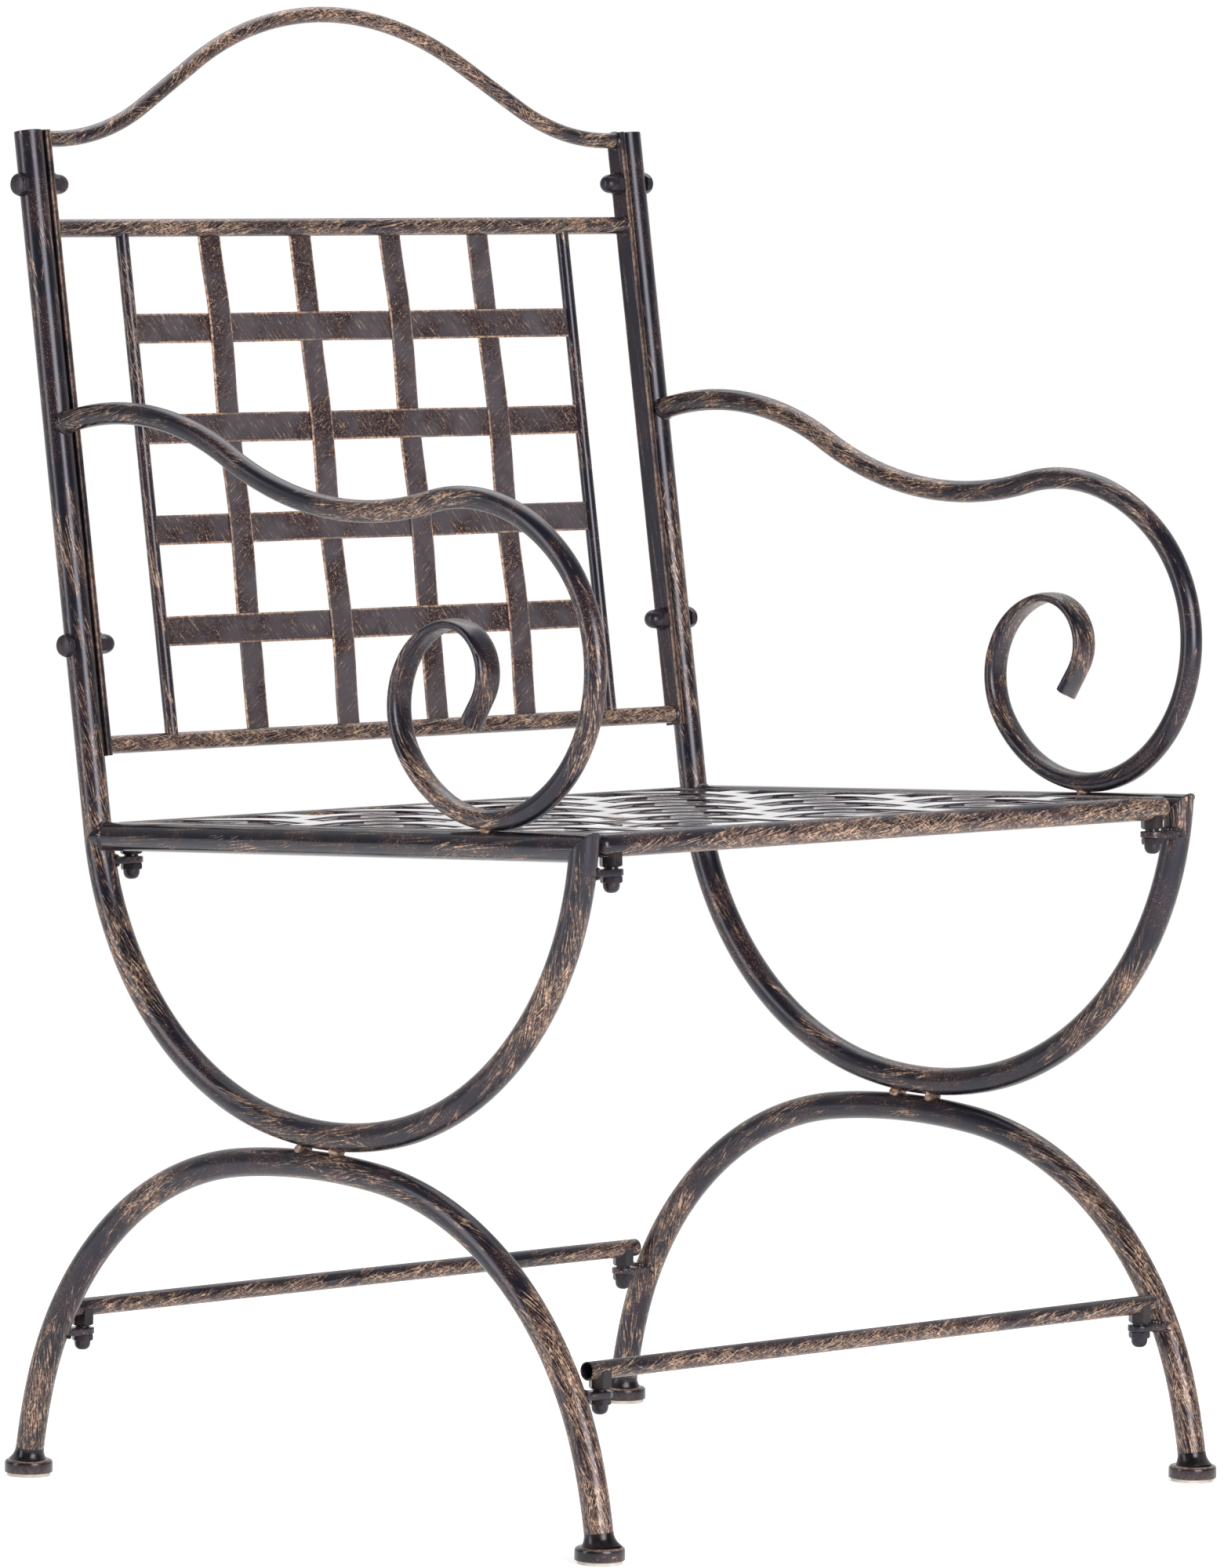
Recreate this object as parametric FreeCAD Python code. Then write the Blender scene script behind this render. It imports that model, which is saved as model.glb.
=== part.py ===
import FreeCAD, Part
import math
import os

# Garden armchair of bent steel tube, knocked down into two side frames, a woven back panel,
# a woven seat panel and two stretchers that bolt together.
# Millimetres and degrees. +Z is up, the chair faces -Y, +X is on the right of somebody who looks
# at its front. The origin is on the floor, in the middle of the chair's box.

# Side frames
frame_spacing = 540.0          # between the centre planes of the two side frames
tube_diameter = 18.0
tube_wall = 1.5
corner_height = 429.5          # axis of the side rail at its front corner
side_depth = 431.0             # from the front corner to the post axis, at the corner's height
seat_fall = 2.5                # slope of the side rails and the seat down to the rear
post_lean = 9.0                # the back posts lean to the rear
post_length = 428.0            # up the post, from the corner's height to its top
weld_gap = 1.0                 # between two tubes that a peg joins

# Bowl: the half round below the side rail, one tube with the back post
bowl_drop = 191.0              # from the front corner down to the lowest point of the tube's axis
bowl_flattening = 50.0         # how much larger the bottom radius is than the side radius
bowl_bottom_turn = 24.0        # turn of the flatter bottom stretch

# Leg arch, which stands on the two feet
foot_spacing = 508.5
foot_lead = 19.5               # the front foot stands this far in front of the front corner
arch_foot_slope = 82.5         # the arch meets the foot cups at this angle
arch_leg_turn = 9.0            # turn of the slow bend at each foot
arch_crown_turn = 14.0         # turn of the flat stretch at the top
arch_crown_ratio = 2.3         # radius of the flat top over the radius of the shoulders

# Feet
cup_diameter = 30.7
cup_height = 8.3
cup_edge_radius = 2.5
cup_wall = 1.5
cup_rim_radius = 0.6
glide_show = 2.2               # the plastic glide stands this far out of the cup
glide_edge_radius = 0.8
glide_fit = 0.1                # between the glide and the cup's wall

# Arm, a thinner tube from the post to its scrolled end
arm_diameter = 14.0
arm_wall = 1.2
arm_peg_setback = 80.8         # the scroll touches down this far behind the front corner
arm_peg_gap = 0.3              # between the scroll and the side rail there
scroll_loop_radius = 84.0
scroll_loop_rear_turn = 55.9
scroll_inner_radius = 51.9
scroll_inner_turn = 111.4
scroll_eye_radius = 29.3
scroll_eye_turn = 135.0
scroll_tail = 19.6             # straight, because a bender can't take hold of the tube's very end
scroll_end_thickness = 6.5     # the scroll is pressed flatter and flatter on its way to the eye
scroll_section_pitch = 14.0    # between the sections that its surface is drawn through
scroll_loop_front_turn = 32.8
arm_nose_radius = 94.9
arm_nose_turn = 106.2
arm_brow_radius = 120.7
arm_brow_turn = 55.7
arm_dip_radius = 243.9
arm_dip_turn = 43.1
arm_rise_radius = 197.9        # the last bend, which ends at the post

# Pegs that tie the curves together
bowl_peg_diameter = 6.0
bowl_peg_spacing = 31.0
arm_peg_diameter = 6.0

# Back panel, measured up the posts from the height of the front corner
stile_width = 14.0
stile_thickness = 4.0
stile_tail = 7.0               # the stiles run on below the bottom rail
bottom_rail_station = 38.0
top_rail_drop = 62.0           # from the posts' tops down to the top rail
back_rail_diameter = 11.4
back_rail_wall = 1.2
back_rod_diameter = 8.5
back_rod_inset = 58.5          # from the stile's inner face to the rod's axis
crest_diameter = 10.2
crest_wall = 1.2
crest_end_drop = 5.0           # the crest's ends lie this far below the posts' tops
crest_rise = 82.0
crest_end_run = 8.0            # straight stretch at each end of the crest
crest_slope_share = 0.82       # 1 would be a crest with no straight stretch in its flanks
crest_crown_share = 0.60       # share of the crown in the sum of the crest's two radii
cap_thickness = 2.0

# Flat woven straps
strap_width = 19.0
strap_thickness = 1.5
strap_gap = 0.3                # between two straps where they cross
upright_strap_count = 4
upright_strap_pitch = 80.7
upright_strap_setback = 4.0    # the straps' ends lie this far behind the axes of the rails
cross_strap_count = 4
cross_strap_pitch = 64.5

# Seat panel
seat_rail_diameter = 15.0
seat_rail_wall = 1.2
seat_rail_end_radius = 5.0
seat_rail_lift = 0.8           # axis of the seat rails above the axis of the side rails
seat_side_clearance = 3.0
seat_rod_diameter = 8.5
seat_weave_rise = 4.6          # middle of the seat's weave above the axis of its rails
lengthwise_strap_count = 7
lengthwise_strap_pitch = 65.0
crosswise_strap_count = 5
crosswise_strap_pitch = 70.0

# Stretchers
stretcher_diameter = 11.5
stretcher_wall = 1.2
stretcher_end_clearance = 4.0
front_stretcher_height = 112.5
rear_stretcher_height = 107.5

# Studs, lugs and cap nuts of the seat and the stretchers
stud_inset = 24.5              # from the centre plane of the side frame to the stud
stud_diameter = 6.0
stud_head_flats = 12.4
stud_head_height = 5.5
stud_collar_diameter = 9.0
stud_collar_height = 1.5
stud_grip = 7.0                # threaded length inside the cap nut
nut_tip_room = 0.5             # between a thread's end and the bottom of its blind hole
lug_thickness = 4.0
lug_width = 15.0
small_nut_flats = 12.2
small_nut_height = 4.4
small_dome_diameter = 10.4
small_dome_height = 6.0
small_dome_edge_radius = 3.6

# Bolts of the back panel
bolt_diameter = 8.0
bolt_head_flats = 13.0
bolt_head_height = 5.3
bolt_grip = 9.0                # threaded length inside the cap nut
lower_bolt_station = 102.0
upper_bolt_drop = 34.0         # from the posts' tops down to the upper bolts
large_nut_flats = 13.0
large_nut_height = 5.5
large_dome_diameter = 12.8
large_dome_height = 9.0
large_dome_edge_radius = 5.6
hole_clearance = 0.5           # a bolt hole is this much wider than its bolt

# Sizes that follow
tube_radius = tube_diameter / 2
arm_radius = arm_diameter / 2
cup_radius = cup_diameter / 2
frame_x = frame_spacing / 2
frame_inner_x = frame_x - tube_radius
stile_inner_x = frame_inner_x - stile_thickness
stud_x = frame_x - stud_inset
back_rod_x = stile_inner_x - back_rod_inset
top_rail_station = post_length - top_rail_drop
upper_bolt_station = post_length - upper_bolt_drop
crest_end_station = post_length - crest_end_drop
cup_top = glide_show + cup_height
bowl_bottom_height = corner_height - bowl_drop
arch_top_height = bowl_bottom_height - tube_diameter - weld_gap
weave_offset = (strap_thickness + strap_gap) / 2
far = 4 * frame_spacing        # longer than anything in the chair


def sin(angle):
    return math.sin(math.radians(angle))


def cos(angle):
    return math.cos(math.radians(angle))


def tan(angle):
    return math.tan(math.radians(angle))


# The chair's box sets the origin. Its rear side is the crest, the posts' top or the rear feet.
post_reach = foot_lead + side_depth + post_length * sin(post_lean) + tube_radius * cos(post_lean)
crest_reach = foot_lead + side_depth + (crest_end_station + crest_rise) * sin(post_lean) + crest_diameter / 2
rear_reach = max(post_reach, crest_reach, foot_spacing + cup_radius)
front_foot_y = (cup_radius - rear_reach) / 2
rear_foot_y = front_foot_y + foot_spacing
corner_y = front_foot_y + foot_lead
post_y = corner_y + side_depth


def point(x, y, z):
    return FreeCAD.Vector(x, y, z)


def save(name, pieces):
    """Write one node, from one solid or a list of solids."""
    shape = Part.makeCompound(pieces) if isinstance(pieces, list) else pieces
    shape.exportStep("parts/" + name + ".step")
    print(name, round(shape.Volume / 1000, 2), "cm3", len(shape.Solids), "solids")


def cylinder(radius, start, direction, length):
    return Part.makeCylinder(radius, length, start, direction)


def hexagon(flats, height, base):
    """Upright hexagonal prism with two flats facing -Y and +Y."""
    corner = flats / 2 / cos(30)
    ring = [base + point(corner * cos(60 * k), corner * sin(60 * k), 0) for k in range(7)]
    return Part.Face(Part.makePolygon(ring)).extrude(point(0, 0, height))


def route(start, heading, steps):
    """Edges of a bent tube's axis in the YZ plane. A step is (length, 0) for a straight run or
    (radius, turn) for a bend; headings and turns are counted from +Y towards +Z."""
    y, z = start
    edges = []
    for size, turn in steps:
        if turn == 0:
            end = (y + size * cos(heading), z + size * sin(heading))
            edges.append(Part.LineSegment(point(0, y, z), point(0, end[0], end[1])).toShape())
        else:
            side = math.copysign(1, turn)
            centre_y = y - side * size * sin(heading)
            centre_z = z + side * size * cos(heading)
            spots = []
            for share in (0, 0.5, 1):
                angle = heading + share * turn
                reach = side * size
                spots.append(point(0, centre_y + reach * sin(angle), centre_z - reach * cos(angle)))
            edges.append(Part.Arc(*spots).toShape())
            end = (spots[2].y, spots[2].z)
        y, z = end
        heading = heading + turn
    return edges, (y, z), heading


def bar_along(edges, diameter):
    """Solid round bar along a chain of edges."""
    path = Part.Wire(edges)
    start = path.OrderedVertexes[0].Point
    first = path.OrderedEdges[0]
    place = first.FirstParameter if first.valueAt(first.FirstParameter).isEqual(start, 0.001) \
        else first.LastParameter
    direction = first.tangentAt(place)
    disc = Part.Face(Part.Wire(Part.makeCircle(diameter / 2, start, direction)))
    return path.makePipe(disc)


def tube_along(edges, diameter, wall):
    return bar_along(edges, diameter).cut(bar_along(edges, diameter - 2 * wall))


def beyond(spot, normal, size):
    """A cube that lies wholly on the normal's side of a plane through the spot."""
    block = Part.makeBox(size, size, size, point(-size / 2, -size / 2, 0))
    block.Placement = FreeCAD.Placement(spot, FreeCAD.Rotation(point(0, 0, 1), normal))
    return block


def largest(shape):
    """The main solid of a cut shape, without the offcuts on the far side of the tool."""
    return sorted(shape.Solids, key=lambda solid: solid.Volume)[-1]


def on_back_panel(shape):
    """Stand a shape drawn with +Z up the back panel and +Y through it onto the leaning posts."""
    shape = shape.copy()
    shape.rotate(point(0, 0, 0), point(1, 0, 0), -post_lean)
    shape.translate(point(0, post_y, corner_height))
    return shape


def post_spot(station, x):
    """Point on a post's axis."""
    return point(x, post_y + station * sin(post_lean), corner_height + station * cos(post_lean))


def rail_height(y):
    """Height of the side rail's axis."""
    return corner_height - (y - corner_y) * tan(seat_fall)


def mirrored(shape):
    return shape.mirror(point(0, 0, 0), point(1, 0, 0))


def bowl_circles():
    """Radius of the bowl's sides and the middle of its bottom arc, found so that the rear side arc
    is tangent to the post and the front side arc passes through the front corner."""
    half = bowl_bottom_turn / 2
    shift = bowl_flattening * sin(half)
    drop = bowl_flattening * (1 - cos(half))
    # Middle of the bottom arc: base_y + slope * radius, from the distance to the post's axis.
    low = bowl_bottom_height + drop - corner_height
    base_y = post_y - shift + tan(post_lean) * low
    slope = (sin(post_lean) - 1) / cos(post_lean)
    # The front side arc's distance to the corner is the radius too, a quadratic in the radius.
    run = base_y - shift - corner_y
    linear = run * slope + low
    root = math.sqrt(linear ** 2 - slope ** 2 * (run ** 2 + low ** 2))
    radius = (-root - linear) / slope ** 2
    return radius, base_y + slope * radius


bowl_radius, bowl_y = bowl_circles()
bowl_shift = bowl_flattening * sin(bowl_bottom_turn / 2)
bowl_side_height = bowl_bottom_height + bowl_radius + bowl_flattening * (1 - cos(bowl_bottom_turn / 2))
bowl_front_centre = (bowl_y - bowl_shift, bowl_side_height)
bowl_rear_centre = (bowl_y + bowl_shift, bowl_side_height)
corner_slope = math.degrees(math.asin((bowl_side_height - corner_height) / bowl_radius))


def bowl_front_y(z):
    """Axis of the bowl's tube in front, at a height."""
    return bowl_front_centre[0] - math.sqrt(bowl_radius ** 2 - (z - bowl_front_centre[1]) ** 2)


def bowl_rear_y(z):
    """Axis of the bowl's tube or the post behind, at a height."""
    if z > bowl_side_height - bowl_radius * sin(post_lean):
        return post_y + (z - corner_height) * tan(post_lean)
    return bowl_rear_centre[0] + math.sqrt(bowl_radius ** 2 - (z - bowl_rear_centre[1]) ** 2)


def post_and_bowl_edges():
    tangent_y = bowl_rear_centre[0] + bowl_radius * cos(post_lean)
    tangent_z = bowl_side_height - bowl_radius * sin(post_lean)
    top = post_spot(post_length, 0)
    post_run = math.hypot(top.y - tangent_y, top.z - tangent_z)
    half = bowl_bottom_turn / 2
    steps = [(post_run, 0), (bowl_radius, post_lean + half - 90),
             (bowl_radius + bowl_flattening, -bowl_bottom_turn),
             (bowl_radius, corner_slope + half - 90), (tube_diameter, 0)]
    return route((top.y, top.z), -90 - post_lean, steps)[0]


def side_rail_edges():
    """From beyond the front corner to the post's axis."""
    start = (corner_y - tube_diameter * cos(seat_fall), corner_height + tube_diameter * sin(seat_fall))
    length = side_depth * cos(post_lean) / cos(post_lean - seat_fall)
    return route(start, -seat_fall, [(tube_diameter + length, 0)])[0]


def mitre_normal():
    """Normal of the joint at the front corner, pointing to the rail's side."""
    rail = point(0, cos(seat_fall), -sin(seat_fall))
    leg = point(0, sin(corner_slope), -cos(corner_slope))
    return rail - leg


def arch_radii():
    """Leg and shoulder radii of the arch, from its span and its rise."""
    flat = arch_crown_turn / 2
    knee = arch_foot_slope - arch_leg_turn
    span = foot_spacing / 2
    rise = arch_top_height - cup_top
    leg_rise = cos(knee) - cos(arch_foot_slope)
    leg_run = sin(arch_foot_slope) - sin(knee)
    shoulder_rise = cos(flat) - cos(knee) + arch_crown_ratio * (1 - cos(flat))
    shoulder_run = sin(knee) - sin(flat) + arch_crown_ratio * sin(flat)
    share = leg_rise * shoulder_run - leg_run * shoulder_rise
    leg = (rise * shoulder_run - span * shoulder_rise) / share
    shoulder = (leg_rise * span - leg_run * rise) / share
    return leg, shoulder


arch_leg_radius, arch_shoulder_radius = arch_radii()


def arch_edges():
    """From foot to foot, with a straight end that is cut off flush with each foot cup."""
    shoulder_turn = arch_foot_slope - arch_leg_turn - arch_crown_turn / 2
    start = (front_foot_y - tube_diameter * cos(arch_foot_slope),
             cup_top - tube_diameter * sin(arch_foot_slope))
    steps = [(tube_diameter, 0), (arch_leg_radius, -arch_leg_turn),
             (arch_shoulder_radius, -shoulder_turn),
             (arch_shoulder_radius * arch_crown_ratio, -arch_crown_turn),
             (arch_shoulder_radius, -shoulder_turn), (arch_leg_radius, -arch_leg_turn),
             (tube_diameter, 0)]
    return route(start, arch_foot_slope, steps)[0]


def arch_inset(z):
    """How far the arch's axis has moved in from the foot at a height."""
    knee = arch_foot_slope - arch_leg_turn
    knee_height = cup_top + arch_leg_radius * (cos(knee) - cos(arch_foot_slope))
    if z < knee_height:
        lean = cos(arch_foot_slope) + (z - cup_top) / arch_leg_radius
        return arch_leg_radius * (sin(arch_foot_slope) - math.sqrt(1 - lean ** 2))
    lean = cos(knee) + (z - knee_height) / arch_shoulder_radius
    knee_inset = arch_leg_radius * (sin(arch_foot_slope) - sin(knee))
    return knee_inset + arch_shoulder_radius * (sin(knee) - math.sqrt(1 - lean ** 2))


def scroll_thickness(distance):
    """Thickness of the pressed tube at a distance from the front of the scroll's loop."""
    loop_turn = scroll_loop_front_turn + scroll_loop_rear_turn
    pressed = math.radians(scroll_loop_radius * loop_turn + scroll_inner_radius * scroll_inner_turn)
    share = min(distance / pressed, 1)
    return arm_diameter + share * (scroll_end_thickness - arm_diameter)


def arm_touchdown():
    """Lowest point of the scroll's axis, a peg's gap above the side rail."""
    y = corner_y + arm_peg_setback
    thickness = scroll_thickness(scroll_loop_radius * math.radians(scroll_loop_front_turn))
    return y, rail_height(y) + (tube_radius + thickness / 2 + arm_peg_gap) / cos(seat_fall)


def loop_front():
    """Where the scroll's loop meets the armrest's nose, with the heading there towards the nose."""
    return route(arm_touchdown(), 180, [(scroll_loop_radius, -scroll_loop_front_turn)])[1:]


def armrest_edges():
    """From the front of the scroll's loop over the nose and along the armrest, into the post."""
    spot, heading = loop_front()
    bends = [(arm_nose_radius, -arm_nose_turn), (arm_brow_radius, -arm_brow_turn),
             (arm_dip_radius, arm_dip_turn)]
    edges, end, heading = route(spot, heading, bends)
    # The last bend stops on the post's axis, whose distance from the bend's centre gives the turn.
    centre_y = end[0] + arm_rise_radius * sin(heading)
    centre_z = end[1] - arm_rise_radius * cos(heading)
    away = (post_y - centre_y) * cos(post_lean) - (corner_height - centre_z) * sin(post_lean)
    last_heading = -math.degrees(math.asin(away / arm_rise_radius)) - post_lean
    turn = (last_heading - heading) % -360
    return edges + route(end, heading, [(arm_rise_radius, turn)])[0]


def pressed_section(spot, heading, distance, inset):
    """Ellipse across the scroll. Its half axes keep the mean square of the round tube's radius, so
    the skin keeps its length, and the inset is then taken off both."""
    thin = scroll_thickness(distance) / 2
    wide = math.sqrt(2 * arm_radius ** 2 - thin ** 2)
    press = FreeCAD.Matrix()
    press.A11 = wide - inset
    press.A33 = thin - inset
    ring = Part.makeCircle(1, point(0, 0, 0), point(0, 1, 0)).transformGeometry(press)
    ring.rotate(point(0, 0, 0), point(1, 0, 0), heading)
    ring.translate(point(0, spot[0], spot[1]))
    return Part.Wire(ring.Edges)


def scroll_bar(inset):
    """The pressed scroll as a solid, from the front of its loop to its straight cut end."""
    spot, heading = loop_front()
    heading = heading - 180
    bends = [(scroll_loop_radius, scroll_loop_front_turn + scroll_loop_rear_turn),
             (scroll_inner_radius, scroll_inner_turn), (scroll_eye_radius, scroll_eye_turn),
             (scroll_tail, 0)]
    distance = 0
    sections = [pressed_section(spot, heading, distance, inset)]
    for size, turn in bends:
        length = size * math.radians(turn) if turn else size
        count = math.ceil(length / scroll_section_pitch)
        step = (size, turn / count) if turn else (size / count, 0)
        for _ in range(count):
            spot, heading = route(spot, heading, [step])[1:]
            distance = distance + length / count
            sections.append(pressed_section(spot, heading, distance, inset))
    return Part.makeLoft(sections, True, False)


def arm_bar(inset):
    """The whole arm as a solid whose surface lies an inset below the tube's own."""
    armrest = bar_along(armrest_edges(), arm_diameter - 2 * inset)
    return in_plane(armrest.fuse(scroll_bar(inset)), frame_x)


def in_plane(shape, x):
    shape = shape.copy()
    shape.translate(point(x, 0, 0))
    return shape


def post_bar():
    """The straight stretch of a back post as a solid bar, for the pieces that are coped to it."""
    start = post_spot(-side_depth / 2, frame_x)
    top = post_spot(post_length, frame_x)
    return cylinder(tube_radius, start, top - start, (top - start).Length)


def bowl_bar():
    return in_plane(bar_along(post_and_bowl_edges(), tube_diameter), frame_x)


def arch_bar():
    return in_plane(bar_along(arch_edges(), tube_diameter), frame_x)


def rail_bar():
    return in_plane(bar_along(side_rail_edges(), tube_diameter), frame_x)


def bolt_line(station, diameter):
    """A rod along a back bolt's axis, right through the post and the stile."""
    start = post_spot(station, stile_inner_x - tube_diameter)
    return cylinder(diameter / 2, start, point(1, 0, 0), 4 * tube_diameter)


def post_bowl():
    tube = in_plane(tube_along(post_and_bowl_edges(), tube_diameter, tube_wall), frame_x)
    corner = point(frame_x, corner_y, corner_height)
    tube = tube.cut(beyond(corner, mitre_normal(), 4 * tube_diameter))
    for station in (lower_bolt_station, upper_bolt_station):
        tube = tube.cut(bolt_line(station, bolt_diameter + hole_clearance))
    return largest(tube)


def side_rail():
    tube = in_plane(tube_along(side_rail_edges(), tube_diameter, tube_wall), frame_x)
    corner = point(frame_x, corner_y, corner_height)
    tube = tube.cut(beyond(corner, mitre_normal().negative(), 4 * tube_diameter))
    return largest(tube.cut(post_bar()))


def leg_arch():
    tube = in_plane(tube_along(arch_edges(), tube_diameter, tube_wall), frame_x)
    return largest(tube.cut(beyond(point(frame_x, 0, cup_top), point(0, 0, -1), far)))


def arm_scroll():
    return largest(arm_bar(0).cut(arm_bar(arm_wall)).cut(post_bar()))


def bowl_pegs():
    """Pegs between the bowl and the arch, either side of where the two curves come closest."""
    closest_y = (bowl_y + (front_foot_y + rear_foot_y) / 2) / 2
    pegs = []
    for side in (-1, 1):
        foot = point(frame_x, closest_y + side * bowl_peg_spacing / 2, arch_top_height - tube_radius)
        length = bowl_bottom_height - arch_top_height + tube_diameter
        peg = cylinder(bowl_peg_diameter / 2, foot, point(0, 0, 1), length)
        pegs.append(largest(peg.cut(arch_bar()).cut(bowl_bar())))
    return pegs


def arm_peg():
    y, z = arm_touchdown()
    foot = point(frame_x, y, rail_height(y))
    peg = cylinder(arm_peg_diameter / 2, foot, point(0, 0, 1), z - foot.z)
    return largest(peg.cut(rail_bar()).cut(arm_bar(0)))


def foot_cup(y):
    """Pressed cup, open below, with rounded edges."""
    body = cylinder(cup_radius, point(frame_x, y, glide_show), point(0, 0, 1), cup_height)
    top = [edge for edge in body.Edges if edge.BoundBox.ZMin > cup_top - cup_wall / 2]
    body = body.makeFillet(cup_edge_radius, top)
    rim = [edge for edge in body.Edges if edge.BoundBox.ZMax < glide_show + cup_wall / 2]
    body = body.makeFillet(cup_rim_radius, rim)
    hollow = cylinder(cup_radius - cup_wall, point(frame_x, y, glide_show), point(0, 0, 1),
                      cup_height - cup_wall)
    return body.cut(hollow)


def foot_glide(y):
    """Plastic disc pressed into the cup, up to the cup's top wall."""
    disc = cylinder(cup_radius - cup_wall - glide_fit, point(frame_x, y, 0), point(0, 0, 1),
                    cup_top - cup_wall)
    rim = [edge for edge in disc.Edges if edge.BoundBox.ZMax < glide_show / 2]
    return disc.makeFillet(glide_edge_radius, rim)


def post_cap():
    cap = cylinder(tube_radius - tube_wall, point(frame_x, 0, post_length - cap_thickness),
                   point(0, 0, 1), cap_thickness)
    return on_back_panel(cap)


def stile():
    foot = bottom_rail_station - stile_tail
    bar = Part.makeBox(stile_thickness, stile_width, post_length - foot,
                       point(stile_inner_x, -stile_width / 2, foot))
    bar = on_back_panel(bar)
    for station in (lower_bolt_station, upper_bolt_station):
        bar = bar.cut(bolt_line(station, bolt_diameter + hole_clearance))
    return bar


def cross_bar(diameter, half_length, y, z):
    """Solid bar along X."""
    return cylinder(diameter / 2, point(-half_length, y, z), point(1, 0, 0), 2 * half_length)


def cross_tube(diameter, wall, half_length, y, z):
    return cross_bar(diameter, half_length, y, z).cut(cross_bar(diameter - 2 * wall, half_length, y, z))


def crest():
    half = stile_inner_x - crest_end_run
    slope = crest_slope_share * 2 * math.degrees(math.atan(crest_rise / half))
    radii = (half * sin(slope) - crest_rise * cos(slope)) / (1 - cos(slope))
    straight = (half - radii * sin(slope)) / cos(slope)
    crown = crest_crown_share * radii
    steps = [(crest_end_run, 0), (radii - crown, slope), (straight, 0), (crown, -2 * slope),
             (straight, 0), (radii - crown, slope), (crest_end_run, 0)]
    edges = route((-stile_inner_x, crest_end_station), 0, steps)[0]
    tube = tube_along(edges, crest_diameter, crest_wall)
    tube.rotate(point(0, 0, 0), point(0, 0, 1), -90)
    return on_back_panel(tube)


def back_rail_bar(station):
    return cross_bar(back_rail_diameter, stile_inner_x, 0, station)


def back_rail(station):
    return on_back_panel(cross_tube(back_rail_diameter, back_rail_wall, stile_inner_x, 0, station))


def back_rod_bar(x):
    return cylinder(back_rod_diameter / 2, point(x, 0, bottom_rail_station), point(0, 0, 1),
                    top_rail_station - bottom_rail_station)


def back_rod(x):
    rod = back_rod_bar(x).cut(back_rail_bar(bottom_rail_station))
    return on_back_panel(largest(rod.cut(back_rail_bar(top_rail_station))))


def woven_strap(stops):
    """Flat strap along +Y that swings smoothly from stop to stop. A stop is its place along the
    strap and the height of the strap's middle there; the strap lies level at every stop."""
    steps = []
    for (near, low), (away, high) in zip(stops, stops[1:]):
        length = away - near
        swing = high - low
        if swing == 0:
            steps.append((length, 0))
            continue
        turn = 2 * math.degrees(math.atan(swing / length))
        radius = (length ** 2 + swing ** 2) / (4 * abs(swing))
        steps = steps + [(radius, turn), (radius, -turn)]
    outline = []
    for face in (strap_thickness / 2, -strap_thickness / 2):
        bent = [(size - math.copysign(face, turn) if turn else size, turn) for size, turn in steps]
        edges, end, heading = route((stops[0][0], stops[0][1] + face), 0, bent)
        outline.append((edges, end))
    upper, lower = outline
    start_line = Part.LineSegment(point(0, stops[0][0], stops[0][1] - strap_thickness / 2),
                                  point(0, stops[0][0], stops[0][1] + strap_thickness / 2)).toShape()
    end_line = Part.LineSegment(point(0, *upper[1]), point(0, *lower[1])).toShape()
    wire = Part.Wire([start_line] + upper[0] + [end_line] + lower[0][::-1])
    strap = Part.Face(wire).extrude(point(strap_width, 0, 0))
    strap.translate(point(-strap_width / 2, 0, 0))
    return strap


def spread(count, pitch):
    """Places of a row of pieces, centred on zero."""
    return [(k - (count - 1) / 2) * pitch for k in range(count)]


def over_or_under(first, second):
    """Plain weave: one strap of a pair is on top where the two counts add up to an even number."""
    return weave_offset if (first + second) % 2 == 0 else -weave_offset


def cross_strap_stations():
    return [top_rail_station - (k + 1) * cross_strap_pitch for k in range(cross_strap_count)]


def upright_strap(count):
    """Strap woven through the cross straps, with its ends welded to the rear of the two rails."""
    x = spread(upright_strap_count, upright_strap_pitch)[count]
    rows = cross_strap_stations()
    stops = [(bottom_rail_station, -upright_strap_setback)]
    for row in range(len(rows) - 1, -1, -1):
        stops.append((rows[row], over_or_under(count, row)))
    stops.append((top_rail_station, -upright_strap_setback))
    strap = woven_strap(stops)
    strap.rotate(point(0, 0, 0), point(1, 0, 0), 90)
    strap.translate(point(x, 0, 0))
    strap = strap.cut(back_rail_bar(bottom_rail_station)).cut(back_rail_bar(top_rail_station))
    return on_back_panel(largest(strap))


def cross_strap(count):
    half = back_rod_x
    stops = [(-half, 0)]
    for column, x in enumerate(spread(upright_strap_count, upright_strap_pitch)):
        stops.append((x, -over_or_under(column, count)))
    stops.append((half, 0))
    strap = woven_strap(stops)
    strap.rotate(point(0, 0, 0), point(0, 0, 1), -90)
    strap.rotate(point(0, 0, 0), point(1, 0, 0), 90)
    strap.translate(point(0, 0, cross_strap_stations()[count]))
    strap = strap.cut(back_rod_bar(-half)).cut(back_rod_bar(half))
    return on_back_panel(largest(strap))


# The seat's rails stand over lugs on the side frames, so the lugs' height gives their place.
lug_drop = seat_rail_diameter / 2 + stud_head_height + stud_collar_height + lug_thickness / 2
front_rail_y = bowl_front_y(corner_height + seat_rail_lift - lug_drop)
rear_rail_y = bowl_rear_y(rail_height(post_y) + seat_rail_lift - lug_drop)
seat_length = (rear_rail_y - front_rail_y) / cos(seat_fall)
seat_rod_rise = (seat_rail_diameter - seat_rod_diameter) / 2


def on_seat(shape):
    """Place a shape drawn with +Y from the front rail to the rear rail and +Z out of the seat."""
    shape = shape.copy()
    shape.rotate(point(0, 0, 0), point(1, 0, 0), -seat_fall)
    shape.translate(point(0, front_rail_y, rail_height(front_rail_y) + seat_rail_lift))
    return shape


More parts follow.
